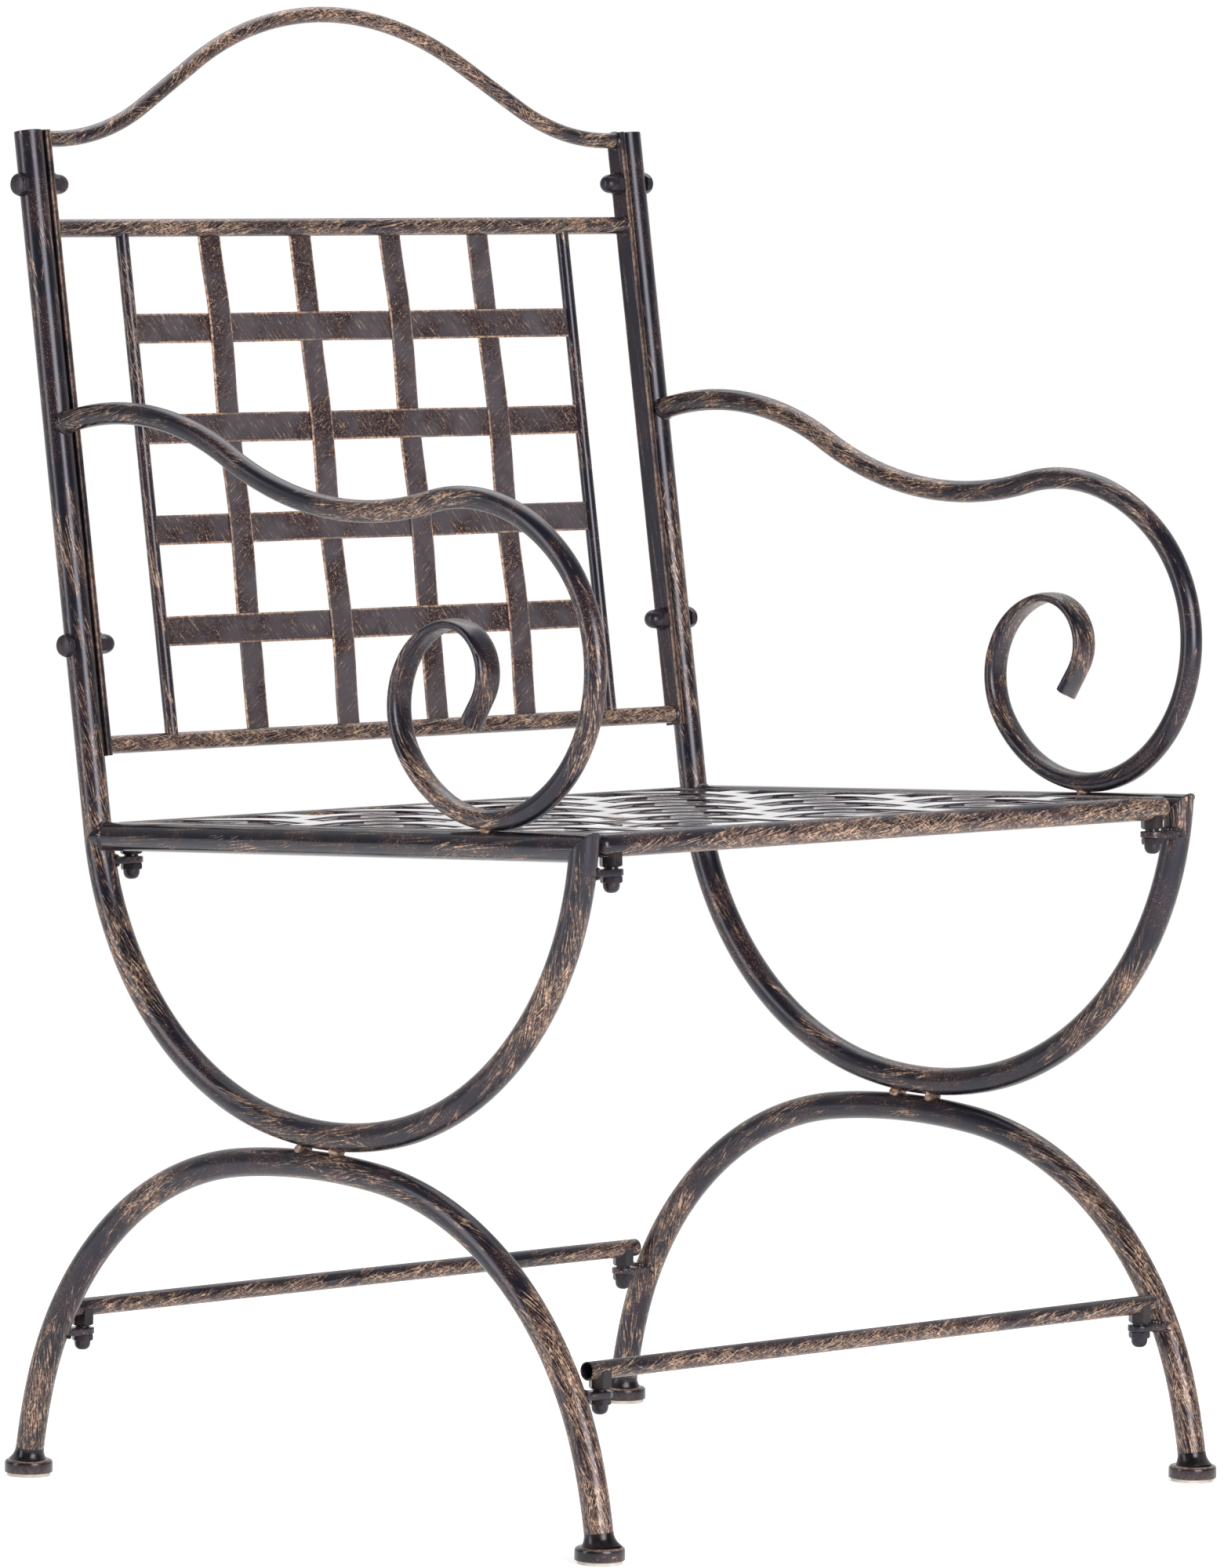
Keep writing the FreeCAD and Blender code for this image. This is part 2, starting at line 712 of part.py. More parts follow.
def seat_rail_bar(y):
    return cross_bar(seat_rail_diameter, frame_inner_x - seat_side_clearance, y, 0)


def seat_rail(y):
    """Tube with closed, rounded ends."""
    bar = seat_rail_bar(y)
    rims = [edge for edge in bar.Edges if edge.BoundBox.XLength < seat_rail_end_radius]
    bar = bar.makeFillet(seat_rail_end_radius, rims)
    half_hollow = frame_inner_x - seat_side_clearance - seat_rail_end_radius
    return on_seat(bar.cut(cross_bar(seat_rail_diameter - 2 * seat_rail_wall, half_hollow, y, 0)))


def seat_rod_bar(x):
    return cylinder(seat_rod_diameter / 2, point(x, 0, seat_rod_rise), point(0, 1, 0), seat_length)


def seat_rod(x):
    return on_seat(largest(seat_rod_bar(x).cut(seat_rail_bar(0)).cut(seat_rail_bar(seat_length))))


def lengthwise_strap(count):
    x = spread(lengthwise_strap_count, lengthwise_strap_pitch)[count]
    stops = [(0, 0)]
    for row, y in enumerate(spread(crosswise_strap_count, crosswise_strap_pitch)):
        stops.append((seat_length / 2 + y, over_or_under(count, row)))
    stops.append((seat_length, 0))
    strap = woven_strap(stops)
    strap.translate(point(x, 0, seat_weave_rise))
    return on_seat(largest(strap.cut(seat_rail_bar(0)).cut(seat_rail_bar(seat_length))))


def crosswise_strap(count):
    y = seat_length / 2 + spread(crosswise_strap_count, crosswise_strap_pitch)[count]
    stops = [(-stud_x, 0)]
    for column, x in enumerate(spread(lengthwise_strap_count, lengthwise_strap_pitch)):
        stops.append((x, -over_or_under(column, count)))
    stops.append((stud_x, 0))
    strap = woven_strap(stops)
    strap.rotate(point(0, 0, 0), point(0, 0, 1), -90)
    strap.translate(point(0, y, seat_weave_rise))
    return on_seat(largest(strap.cut(seat_rod_bar(-stud_x)).cut(seat_rod_bar(stud_x))))


def stretcher_spots():
    """Height and place in depth of the two stretchers, over lugs on the arches."""
    drop = stretcher_diameter / 2 + stud_head_height + stud_collar_height + lug_thickness / 2
    front = front_foot_y + arch_inset(front_stretcher_height - drop)
    rear = rear_foot_y - arch_inset(rear_stretcher_height - drop)
    return [(front, front_stretcher_height), (rear, rear_stretcher_height)]


def stretcher(spot):
    half = frame_inner_x - stretcher_end_clearance
    return cross_tube(stretcher_diameter, stretcher_wall, half, spot[0], spot[1])


def stud(rail_diameter):
    """Weld stud under a rail whose axis runs along X through zero: a hexagonal head that hugs the
    rail, a collar that stands on the lug, and the threaded shank."""
    down = point(0, 0, -1)
    head_foot = -rail_diameter / 2 - stud_head_height
    head = hexagon(stud_head_flats, -head_foot, point(0, 0, head_foot))
    head = largest(head.cut(cross_bar(rail_diameter, stud_inset, 0, 0)))
    collar = cylinder(stud_collar_diameter / 2, point(0, 0, head_foot), down, stud_collar_height)
    shank = cylinder(stud_diameter / 2, point(0, 0, head_foot), down,
                     stud_collar_height + lug_thickness + stud_grip)
    return head.fuse(collar).fuse(shank).removeSplitter()


def lug(rail_diameter):
    """Plate from the side frame's centre plane to a round end about the stud."""
    top = -rail_diameter / 2 - stud_head_height - stud_collar_height
    plate = Part.makeBox(stud_inset, lug_width, lug_thickness,
                         point(0, -lug_width / 2, top - lug_thickness))
    base = point(0, 0, top - lug_thickness)
    plate = plate.fuse(cylinder(lug_width / 2, base, point(0, 0, 1), lug_thickness)).removeSplitter()
    return plate.cut(cylinder((stud_diameter + hole_clearance) / 2, base, point(0, 0, 1), lug_thickness))


def cap_nut(flats, height, dome_diameter, dome_height, dome_edge_radius, thread, depth):
    """Cap nut that bears on the plane below it, with its dome up."""
    dome = cylinder(dome_diameter / 2, point(0, 0, 0), point(0, 0, 1), height + dome_height)
    top = [edge for edge in dome.Edges if edge.BoundBox.ZMin > height + dome_height / 2]
    dome = dome.makeFillet(dome_edge_radius, top)
    nut = hexagon(flats, height, point(0, 0, 0)).fuse(dome).removeSplitter()
    return nut.cut(cylinder(thread / 2, point(0, 0, 0), point(0, 0, 1), depth))


def small_nut(rail_diameter):
    """Cap nut under a lug, dome down."""
    nut = cap_nut(small_nut_flats, small_nut_height, small_dome_diameter, small_dome_height,
                  small_dome_edge_radius, stud_diameter, stud_grip + nut_tip_room)
    nut.rotate(point(0, 0, 0), point(1, 0, 0), 180)
    drop = rail_diameter / 2 + stud_head_height + stud_collar_height + lug_thickness
    nut.translate(point(0, 0, -drop))
    return nut


def at_seat_corners(shape):
    """The right-hand pair of a piece drawn about a seat rail's axis."""
    pair = []
    for y in (0, seat_length):
        pair.append(on_seat(moved(shape, stud_x, y, 0)))
    return pair


def at_stretcher_ends(shape):
    return [moved(shape, stud_x, y, z) for y, z in stretcher_spots()]


def moved(shape, x, y, z):
    shape = shape.copy()
    shape.translate(point(x, y, z))
    return shape


def back_bolt(station):
    """Hexagon bolt from outside through the post and the stile."""
    shank = tube_diameter + stile_thickness + bolt_grip
    bolt = hexagon(bolt_head_flats, bolt_head_height, point(0, 0, -bolt_head_height))
    bolt = bolt.fuse(cylinder(bolt_diameter / 2, point(0, 0, 0), point(0, 0, 1), shank))
    return facing_inward(bolt.removeSplitter(), post_spot(station, frame_x + tube_radius))


def back_nut(station):
    nut = cap_nut(large_nut_flats, large_nut_height, large_dome_diameter, large_dome_height,
                  large_dome_edge_radius, bolt_diameter, bolt_grip + nut_tip_room)
    return facing_inward(nut, post_spot(station, stile_inner_x))


def facing_inward(shape, spot):
    """Turn a shape drawn along +Z to point from the right side frame to the middle."""
    shape.rotate(point(0, 0, 0), point(0, 1, 0), -90)
    shape.translate(spot)
    return shape


def all_sides(pieces):
    """A right-hand group and its mirror image."""
    return pieces + [mirrored(piece) for piece in pieces]


def save_side_frames():
    lugs_on_bowl = [largest(piece.cut(bowl_bar())) for piece in at_seat_corners(lug(seat_rail_diameter))]
    lugs_on_arch = [largest(piece.cut(arch_bar())) for piece in at_stretcher_ends(lug(stretcher_diameter))]
    feet = (front_foot_y, rear_foot_y)
    right_hand = {
        "post_bowl": [post_bowl()],
        "side_rail": [side_rail()],
        "leg_arch": [leg_arch()],
        "arm_scroll": [arm_scroll()],
        "seat_lugs": lugs_on_bowl,
        "stretcher_lugs": lugs_on_arch,
        "foot_cups": [foot_cup(y) for y in feet],
    }
    for name, pieces in right_hand.items():
        save("right_" + name, pieces if len(pieces) > 1 else pieces[0])
        turned = [mirrored(piece) for piece in pieces]
        save("left_" + name, turned if len(turned) > 1 else turned[0])
    save("bowl_pegs", all_sides(bowl_pegs()))
    save("arm_pegs", all_sides([arm_peg()]))
    save("foot_glides", all_sides([foot_glide(y) for y in feet]))
    save("post_caps", all_sides([post_cap()]))


def save_back_panel():
    save("back_stile_right", stile())
    save("back_stile_left", mirrored(stile()))
    save("back_crest", crest())
    save("back_top_rail", back_rail(top_rail_station))
    save("back_bottom_rail", back_rail(bottom_rail_station))
    save("back_rod_left", back_rod(-back_rod_x))
    save("back_rod_right", back_rod(back_rod_x))
    for count in range(upright_strap_count):
        save("back_upright_strap_" + str(count + 1), upright_strap(count))
    for count in range(cross_strap_count):
        save("back_cross_strap_" + str(count + 1), cross_strap(count))


def save_seat_panel():
    save("seat_front_rail", seat_rail(0))
    save("seat_rear_rail", seat_rail(seat_length))
    save("seat_rod_left", seat_rod(-stud_x))
    save("seat_rod_right", seat_rod(stud_x))
    for count in range(lengthwise_strap_count):
        save("seat_lengthwise_strap_" + str(count + 1), lengthwise_strap(count))
    for count in range(crosswise_strap_count):
        save("seat_crosswise_strap_" + str(count + 1), crosswise_strap(count))


def save_stretchers():
    front, rear = stretcher_spots()
    save("front_stretcher", stretcher(front))
    save("rear_stretcher", stretcher(rear))


def save_fasteners():
    stations = (lower_bolt_station, upper_bolt_station)
    save("back_bolts", all_sides([back_bolt(station) for station in stations]))
    save("back_cap_nuts", all_sides([back_nut(station) for station in stations]))
    save("seat_studs", all_sides(at_seat_corners(stud(seat_rail_diameter))))
    save("seat_cap_nuts", all_sides(at_seat_corners(small_nut(seat_rail_diameter))))
    save("stretcher_studs", all_sides(at_stretcher_ends(stud(stretcher_diameter))))
    save("stretcher_cap_nuts", all_sides(at_stretcher_ends(small_nut(stretcher_diameter))))


os.makedirs("parts", exist_ok=True)
save_side_frames()
save_back_panel()
save_seat_panel()
save_stretchers()
save_fasteners()
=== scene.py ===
# %% [markdown]
# A garden armchair of bent steel tube. The real one comes flat in a box: two welded side frames, a
# woven back, a woven seat and two stretchers, bolted together with cap nuts. Its solids arrive here as
# a fixed frame of real size, and this lesson dresses them: every tube, strap, nut and weld becomes a
# surface worked out with numpy, so that the brush marks of its hand-made finish can follow it.

# %% Load the frame
import math

import bpy
import numpy as np
from mathutils import Matrix, Vector


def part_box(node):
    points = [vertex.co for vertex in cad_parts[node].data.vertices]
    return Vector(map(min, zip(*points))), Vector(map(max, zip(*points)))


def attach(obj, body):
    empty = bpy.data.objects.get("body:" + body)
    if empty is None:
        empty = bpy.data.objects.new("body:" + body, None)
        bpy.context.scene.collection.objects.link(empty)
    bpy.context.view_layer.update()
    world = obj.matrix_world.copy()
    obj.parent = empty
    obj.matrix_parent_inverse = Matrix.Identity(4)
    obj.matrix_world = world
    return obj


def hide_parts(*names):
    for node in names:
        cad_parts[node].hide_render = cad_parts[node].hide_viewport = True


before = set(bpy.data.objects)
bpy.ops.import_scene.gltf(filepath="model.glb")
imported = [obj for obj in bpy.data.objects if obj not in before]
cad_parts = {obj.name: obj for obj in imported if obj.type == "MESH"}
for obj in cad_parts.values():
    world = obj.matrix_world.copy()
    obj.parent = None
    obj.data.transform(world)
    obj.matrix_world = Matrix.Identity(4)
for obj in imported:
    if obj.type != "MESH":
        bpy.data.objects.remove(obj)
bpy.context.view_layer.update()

# %% [markdown]
# The camera comes first, because everything is judged through it. It stands in front of the chair's
# left corner, well back and nearly as high as the top of the back, with a long lens, so the chair's
# lines stay nearly parallel. It could be placed by eye, but its place and its three angles were worked
# out from the chair's own straight and level lines, so here its axes are built from them.

# %% Camera
picture_height = 2000
focal_pixels = 12911
sensor_width, clip_distance = 36, 100
camera_place = Vector((-4.5785, -4.4776, 0.8957))
camera_azimuth, camera_dip, camera_roll = 45.631, 4.046, 0.611


def aim_camera():
    """The camera looks along the azimuth, dipped below the horizon, then rolls about that line. The
    sensor's width spans the picture's longer side, here its height, so the lens is that width times
    the focal length in pixels over the picture's height."""
    turn, dip, roll = (math.radians(a) for a in (camera_azimuth, camera_dip, camera_roll))
    ahead = Vector((math.sin(turn) * math.cos(dip), math.cos(turn) * math.cos(dip), -math.sin(dip)))
    right = Vector((math.cos(turn), -math.sin(turn), 0))
    up = right.cross(ahead)
    right, up = (right * math.cos(roll) + up * math.sin(roll), up * math.cos(roll) - right * math.sin(roll))
    data = bpy.data.cameras.new("camera")
    data.sensor_width = sensor_width
    data.lens = sensor_width * focal_pixels / picture_height
    camera = bpy.data.objects.new("camera", data)
    bpy.context.scene.collection.objects.link(camera)
    axes = Matrix((right, up, -ahead)).transposed().to_4x4()
    camera.matrix_world = Matrix.Translation(camera_place) @ axes
    data.clip_end = clip_distance
    return camera


bpy.context.scene.camera = aim_camera()
print("camera lens", round(bpy.context.scene.camera.data.lens, 1), "mm")

# %% [markdown]
# Materials are node trees. They can be drawn by hand in the shader editor, but written out they can
# be read and changed in one place. A few small helpers keep them short: one adds a node and fills in
# its sockets, one does a step of arithmetic, one makes a straight ramp, and one mixes two colours.

# %% Node helpers


def add(tree, kind, inputs=None, **settings):
    """Add a node, set its properties, and fill each named input with a value or a link."""
    made = tree.nodes.new(kind)
    for name, value in settings.items():
        setattr(made, name, value)
    for name, value in (inputs or {}).items():
        socket = made.inputs[name]
        if isinstance(value, bpy.types.NodeSocket):
            tree.links.new(value, socket)
        else:
            socket.default_value = value
    return made


def maths(tree, operation, first, second=0.0, clamp=False):
    """One step of arithmetic. Clamp holds its result between 0 and 1."""
    inputs = {0: first, 1: second}
    return add(tree, "ShaderNodeMath", inputs, operation=operation, use_clamp=clamp).outputs[0]


def ramp(tree, value, low, high, out_low=0.0, out_high=1.0):
    """Straight ramp from out_low to out_high as the value goes from low to high, held at both ends."""
    inputs = {"Value": value, "From Min": low, "From Max": high, "To Min": out_low, "To Max": out_high}
    return add(tree, "ShaderNodeMapRange", inputs).outputs[0]


def blend(tree, share, first, second):
    """Colour between first and second by share. The Mix node keeps its share at socket 0 and its two
    colours at 6 and 7, and its colour comes out at 2."""
    made = add(tree, "ShaderNodeMix", data_type="RGBA")
    for place, value in ((0, share), (6, first), (7, second)):
        if isinstance(value, bpy.types.NodeSocket):
            tree.links.new(value, made.inputs[place])
        else:
            made.inputs[place].default_value = value
    return made.outputs[2]


def paint(red, green, blue):
    """A colour given as it looks on a screen, 0 to 255, turned into linear light."""
    share = np.array([red, green, blue]) / 255
    linear = np.where(share <= 0.04045, share / 12.92, ((share + 0.055) / 1.055) ** 2.4)
    return (*linear.tolist(), 1.0)


def start_material(name):
    """A new material's tree and its Principled shader."""
    material = bpy.data.materials.new(name)
    material.use_nodes = True
    tree = material.node_tree
    return material, tree, tree.nodes["Principled BSDF"]


print("a middle grey of 128 is", round(paint(128, 128, 128)[0], 3), "in linear light")

# %% [markdown]
# The chair stands on a plain pale floor in a studio that is white behind it and dim behind the camera.
# Dark tubes show their shape by what they mirror, so the dim side gives them their black core. The
# background could be made white with more light, but that would bleach the chair: instead the world
# and the far floor are white by themselves for camera, glossy and transmission rays. Near the chair
# the floor is a real matt surface, which takes the chair's shadow, and a glow that only those rays see
# lifts it to the same white. The lamps are large, so what is left of the shadow is very faint.

# %% Floor and world
floor_half = 14.0
floor_near, floor_far = 1.1, 3.0
floor_glow = 0.55
floor_colour, floor_roughness = paint(236, 236, 236), 0.9
room_dim, room_fill = 0.05, 0.36
dim_cosine, white_cosine = -0.1, 0.8


def seen_directly(tree):
    """1 for rays that show the background: camera, glossy and transmission rays."""
    path = add(tree, "ShaderNodeLightPath").outputs
    seen = maths(tree, "MAXIMUM", path["Is Camera Ray"], path["Is Glossy Ray"])
    return maths(tree, "MAXIMUM", seen, path["Is Transmission Ray"])


def make_floor():
    """A square floor. Seen directly it is its matt surface plus a glow near the chair, and plain white
    far away: the share of white rises evenly from the near distance to the far one."""
    mesh = bpy.data.meshes.new("floor")
    corners = [(-floor_half, -floor_half, 0), (floor_half, -floor_half, 0), (floor_half, floor_half, 0),
               (-floor_half, floor_half, 0)]
    mesh.from_pydata(corners, [], [(0, 1, 2, 3)])
    floor = bpy.data.objects.new("floor", mesh)
    bpy.context.scene.collection.objects.link(floor)
    material, tree, shader = start_material("pale_floor")
    shader.inputs["Base Color"].default_value = floor_colour
    shader.inputs["Roughness"].default_value = floor_roughness
    shader.inputs["Specular IOR Level"].default_value = 0.0
    spot = add(tree, "ShaderNodeTexCoord").outputs["Object"]
    reach = add(tree, "ShaderNodeVectorMath", {0: spot}, operation="LENGTH").outputs["Value"]
    seen = seen_directly(tree)
    away = maths(tree, "MULTIPLY", seen, ramp(tree, reach, floor_near, floor_far))
    glow = add(tree, "ShaderNodeEmission", {"Strength": maths(tree, "MULTIPLY", seen, floor_glow)})
    near = add(tree, "ShaderNodeAddShader", {0: shader.outputs[0], 1: glow.outputs[0]})
    white = add(tree, "ShaderNodeEmission", {"Strength": 1.0})
    total = add(tree, "ShaderNodeMixShader", {0: away, 1: near.outputs[0], 2: white.outputs[0]})
    tree.links.new(total.outputs[0], tree.nodes["Material Output"].inputs["Surface"])
    mesh.materials.append(material)


def make_world():
    """White for the camera. What tubes mirror goes from dim to white with the cosine of the angle
    between a ray and the way to the backdrop. All other light from the world is one even fill."""
    world = bpy.data.worlds.new("studio")
    bpy.context.scene.world = world
    world.use_nodes = True
    tree = world.node_tree
    toward = add(tree, "ShaderNodeTexCoord").outputs["Generated"]
    backdrop = (math.sin(math.radians(camera_azimuth)), math.cos(math.radians(camera_azimuth)), 0)
    facing = add(tree, "ShaderNodeVectorMath", {0: toward, 1: backdrop}, operation="DOT_PRODUCT")
    room = ramp(tree, facing.outputs["Value"], dim_cosine, white_cosine, room_dim, 1.0)
    path = add(tree, "ShaderNodeLightPath").outputs
    plain = maths(tree, "MAXIMUM", path["Is Camera Ray"], path["Is Transmission Ray"])
    mirrored = maths(tree, "MULTIPLY", path["Is Glossy Ray"], room)
    seen = maths(tree, "MAXIMUM", plain, mirrored)
    strength = maths(tree, "MAXIMUM", seen, ramp(tree, seen_directly(tree), 0.0, 1.0, room_fill, 0.0))
    tree.links.new(strength, tree.nodes["Background"].inputs["Strength"])
    tree.nodes["Background"].inputs["Color"].default_value = (1, 1, 1, 1)


make_floor()
make_world()
print("floor", 2 * floor_half, "m wide, all white from", floor_far, "m on")

# %% [markdown]
# Soft boxes show as pale bands along the tubes, and the real chair has three: a faint one from the
# left, a broad soft one from the front, a little right of the camera, and a bright upper edge on
# everything level, from a big box above and behind. Two small lamps near the front would give two thin
# lines instead, like the ribs of corduroy, so one wide box stands there.

# %% Lamps


def soft_box(name, place, target, width, height, power):
    """A rectangular lamp that stands at a place and faces a target. Its power is in watts."""
    data = bpy.data.lights.new(name, "AREA")
    data.shape = "RECTANGLE"
    data.size, data.size_y, data.energy = width, height, power
    lamp = bpy.data.objects.new(name, data)
    bpy.context.scene.collection.objects.link(lamp)
    lamp.location = place
    lamp.rotation_euler = (Vector(target) - Vector(place)).to_track_quat("-Z", "Y").to_euler()


chair_middle = (0, 0, 0.45)
soft_box("left_box", (-3.0, 1.35, 1.1), chair_middle, 0.9, 2.2, 34)
soft_box("front_box", (-0.8, -3.1, 1.1), chair_middle, 1.7, 1.8, 96)
soft_box("top_box", (0.7, 0.9, 3.0), chair_middle, 2.4, 2.4, 44)
print("lamps:", ", ".join(f"{lamp.name} {lamp.energy:.0f} W" for lamp in bpy.data.lights))

# %% [markdown]
# Blender's default view transform bends every colour to look like film and would grey the paint, so
# it is set to Standard, at which a colour renders about as it is written.

# %% View
bpy.context.scene.view_settings.view_transform = "Standard"
print("view transform", bpy.context.scene.view_settings.view_transform)

# %% [markdown]
# The finish is the chair's character: nearly black satin paint, dry-brushed by hand with antique
# bronze. A nearly dry brush leaves short slanted hairs of bronze in patches. A photograph of such
# paint could be laid on as an image, but it would repeat. Here each set of hairs is noise, stretched
# along a slanted direction of the flat map and cut off at a threshold, and slower noise decides where
# the brush went.

# %% Brush hairs
hair_cut, patch_cut = (0.53, 0.60), (0.56, 0.66)
patch_length, patch_width = 0.040, 0.007


def stretched_noise(tree, flat, angle, length, width, shift, detail=3.0):
    """Noise whose grains are length long and width wide: the map is turned by the angle and divided
    by the length one way and by the width the other way. The shift picks another part of the noise."""
    turned = add(tree, "ShaderNodeVectorRotate", {"Vector": flat, "Angle": math.radians(angle)},
                 rotation_type="Z_AXIS").outputs[0]
    scaled = add(tree, "ShaderNodeMapping", {"Vector": turned, "Location": (shift, 2 * shift, 0),
                                             "Scale": (1 / length, 1 / width, 1 / width)}).outputs[0]
    inputs = {"Vector": scaled, "Scale": 1.0, "Detail": detail, "Roughness": 0.6}
    return add(tree, "ShaderNodeTexNoise", inputs).outputs[0]


def fine_noise(tree, spot, scale, detail):
    """Even noise with about as many grains to the metre as its scale."""
    return add(tree, "ShaderNodeTexNoise", {"Vector": spot, "Scale": scale, "Detail": detail}).outputs[0]


def brush_hairs(tree, flat, angle, length, width, shift, more):
    """Hairs of bronze in patches: noise past one threshold times slower noise past another. The
    patches are larger where more is high, and lie at half the hairs' angle."""
    hairs = ramp(tree, stretched_noise(tree, flat, angle, length, width, shift, 2.0), *hair_cut)
    patches = stretched_noise(tree, flat, angle / 2, patch_length, patch_width, shift + 5, 4.0)
    where = maths(tree, "ADD", patches, more)
    return maths(tree, "MULTIPLY", hairs, ramp(tree, where, *patch_cut))


print("hairs lie in patches of", patch_length, "by", patch_width, "m")

# %% [markdown]
# The whole paint stacks these up. Two sets of hairs lean one way and a third crosses them, as a hand
# turns. Fine grain breaks every stroke up, because the bronze only catches the high spots of the
# paint, and dust and long streaks lie between the strokes. The result is one share of bronze, and it
# alone steers the colour, the gloss, the metal and the relief, so they can't disagree.

# %% Brushed paint
anthracite = paint(25, 24, 33)
warm_black = paint(40, 29, 36)
bronze_light = paint(226, 190, 160)
bronze_dark = paint(140, 108, 92)
sheen_tint = (0.90, 0.89, 1.0, 1.0)
hair_width, long_stroke = 0.0009, 0.024
crossing_width, crossing_stroke, crossing_loss = 0.0008, 0.010, 0.08
streak_shape, scratch_shape, line_cut = (3, 0.070, 0.0024), (-52, 0.0140, 0.0009), (0.58, 0.66)
reach_scale, area_scale, pressure_scale, tint_scale, grain_scale = 10.0, 34.0, 95.0, 420.0, 1200.0
reach_swing, faintest, rim_bronze = 0.15, 0.55, (0.15, 0.8)
bronze_roughness, bronze_metal, relief_depth = 0.45, 0.3, 0.0002


def brushed_paint(name, reach=0.05, speckle=0.30, streak=0.04, scratch=0.0, base=anthracite, mapped=True,
                  gloss=0.27, rubbed=0.0, relief=0.05, coat=0.0, polish=0.1, slant=30, stroke=0.013):
    """Near-black satin paint with brushed bronze. Mapped pieces carry their own flat map. Rubbed is
    the least share of bronze anywhere, scratch is the strength of fine scratches on flat straps. The
    main hairs lie at the slant, in degrees, and are as long as the stroke. The attribute of wear and
    bore shade adds bronze on worn edges and takes it away below zero, down to -1 inside a bore, where
    it is painted shade: the bore shows only the dark ground. The dense attribute is added to the
    reach of the brush. Layers are joined by the larger share of bronze, and the strokes are
    multiplied by the grain and by the pressure of the hand."""
    material, tree, shader = start_material(name)
    spot = add(tree, "ShaderNodeTexCoord").outputs["Object"]
    flat = add(tree, "ShaderNodeUVMap", uv_map="brush").outputs[0] if mapped else spot
    slow = fine_noise(tree, spot, reach_scale, 2.0)
    slow = ramp(tree, slow, 0.3, 0.7, reach - reach_swing, reach + reach_swing)
    dense = add(tree, "ShaderNodeAttribute", attribute_name="dense").outputs["Fac"]
    more = maths(tree, "ADD", slow, dense)
    strokes = maths(tree, "MAXIMUM", brush_hairs(tree, flat, slant, stroke, hair_width, 1.3, more),
                    brush_hairs(tree, flat, slant / 3, long_stroke, hair_width, 7.7, more))
    less = maths(tree, "SUBTRACT", more, crossing_loss)
    crossing = brush_hairs(tree, flat, -slant, crossing_stroke, crossing_width, 3.1, less)
    strokes = maths(tree, "MAXIMUM", strokes, crossing)
    pressure = ramp(tree, fine_noise(tree, spot, pressure_scale, 2.0), 0.35, 0.6, faintest, 1.0)
    strokes = maths(tree, "MULTIPLY", strokes, pressure)
    for shape, strength in ((streak_shape, streak), (scratch_shape, scratch)):
        if strength > 0:
            noise = stretched_noise(tree, flat, *shape, shape[0])
            line = maths(tree, "MULTIPLY", ramp(tree, noise, *line_cut), strength)
            strokes = maths(tree, "MAXIMUM", strokes, line)
    grain = fine_noise(tree, spot, grain_scale, 2.0)
    area = fine_noise(tree, spot, area_scale, 3.0)
    dusty = ramp(tree, area, 0.46, 0.62, 0.0, speckle)
    dust = maths(tree, "MULTIPLY", ramp(tree, grain, 0.57, 0.65), dusty)
    strokes = maths(tree, "MULTIPLY", strokes, ramp(tree, grain, 0.36, 0.52, faintest, 1.0))
    bronze = maths(tree, "MAXIMUM", maths(tree, "MAXIMUM", strokes, dust), rubbed)
    wear_and_bore_shade = add(tree, "ShaderNodeAttribute", attribute_name="wear_and_bore_shade").outputs["Fac"]
    rim = maths(tree, "MULTIPLY", wear_and_bore_shade, ramp(tree, area, 0.36, 0.56, *rim_bronze))
    bronze = maths(tree, "MAXIMUM", bronze, rim)
    # Below zero this attribute takes the bronze away: inside a bore, that is painted shade.
    bronze = maths(tree, "MULTIPLY", bronze, ramp(tree, wear_and_bore_shade, -0.5, 0.0), clamp=True)
    drift = ramp(tree, fine_noise(tree, spot, tint_scale, 2.0), 0.40, 0.62)
    tint = blend(tree, drift, bronze_dark, bronze_light)
    ground = blend(tree, ramp(tree, area, 0.42, 0.62), base, warm_black)
    tree.links.new(blend(tree, bronze, ground, tint), shader.inputs["Base Color"])
    tree.links.new(ramp(tree, bronze, 0.0, 1.0, gloss, bronze_roughness), shader.inputs["Roughness"])
    tree.links.new(ramp(tree, bronze, 0.0, 1.0, 0.0, bronze_metal), shader.inputs["Metallic"])
    shader.inputs["Coat Weight"].default_value = coat
    shader.inputs["Coat Roughness"].default_value = polish
    shader.inputs["Specular Tint"].default_value = sheen_tint
    if relief > 0:
        inputs = {"Height": bronze, "Strength": relief, "Distance": relief_depth}
        tree.links.new(add(tree, "ShaderNodeBump", inputs).outputs[0], shader.inputs["Normal"])
    return material


print("bronze grains of", 1 / grain_scale, "m on a ground of", [round(v, 4) for v in anthracite[:3]])

# %% [markdown]
# The hand didn't brush every piece alike, so each kind of piece has its own measure of the same paint.
# The crest, the level rails and the stretchers carry much bronze, the side rails little and the
# stiles hardly any. The back's straps are scratched, and the seat's are clean, under a glossy coat.

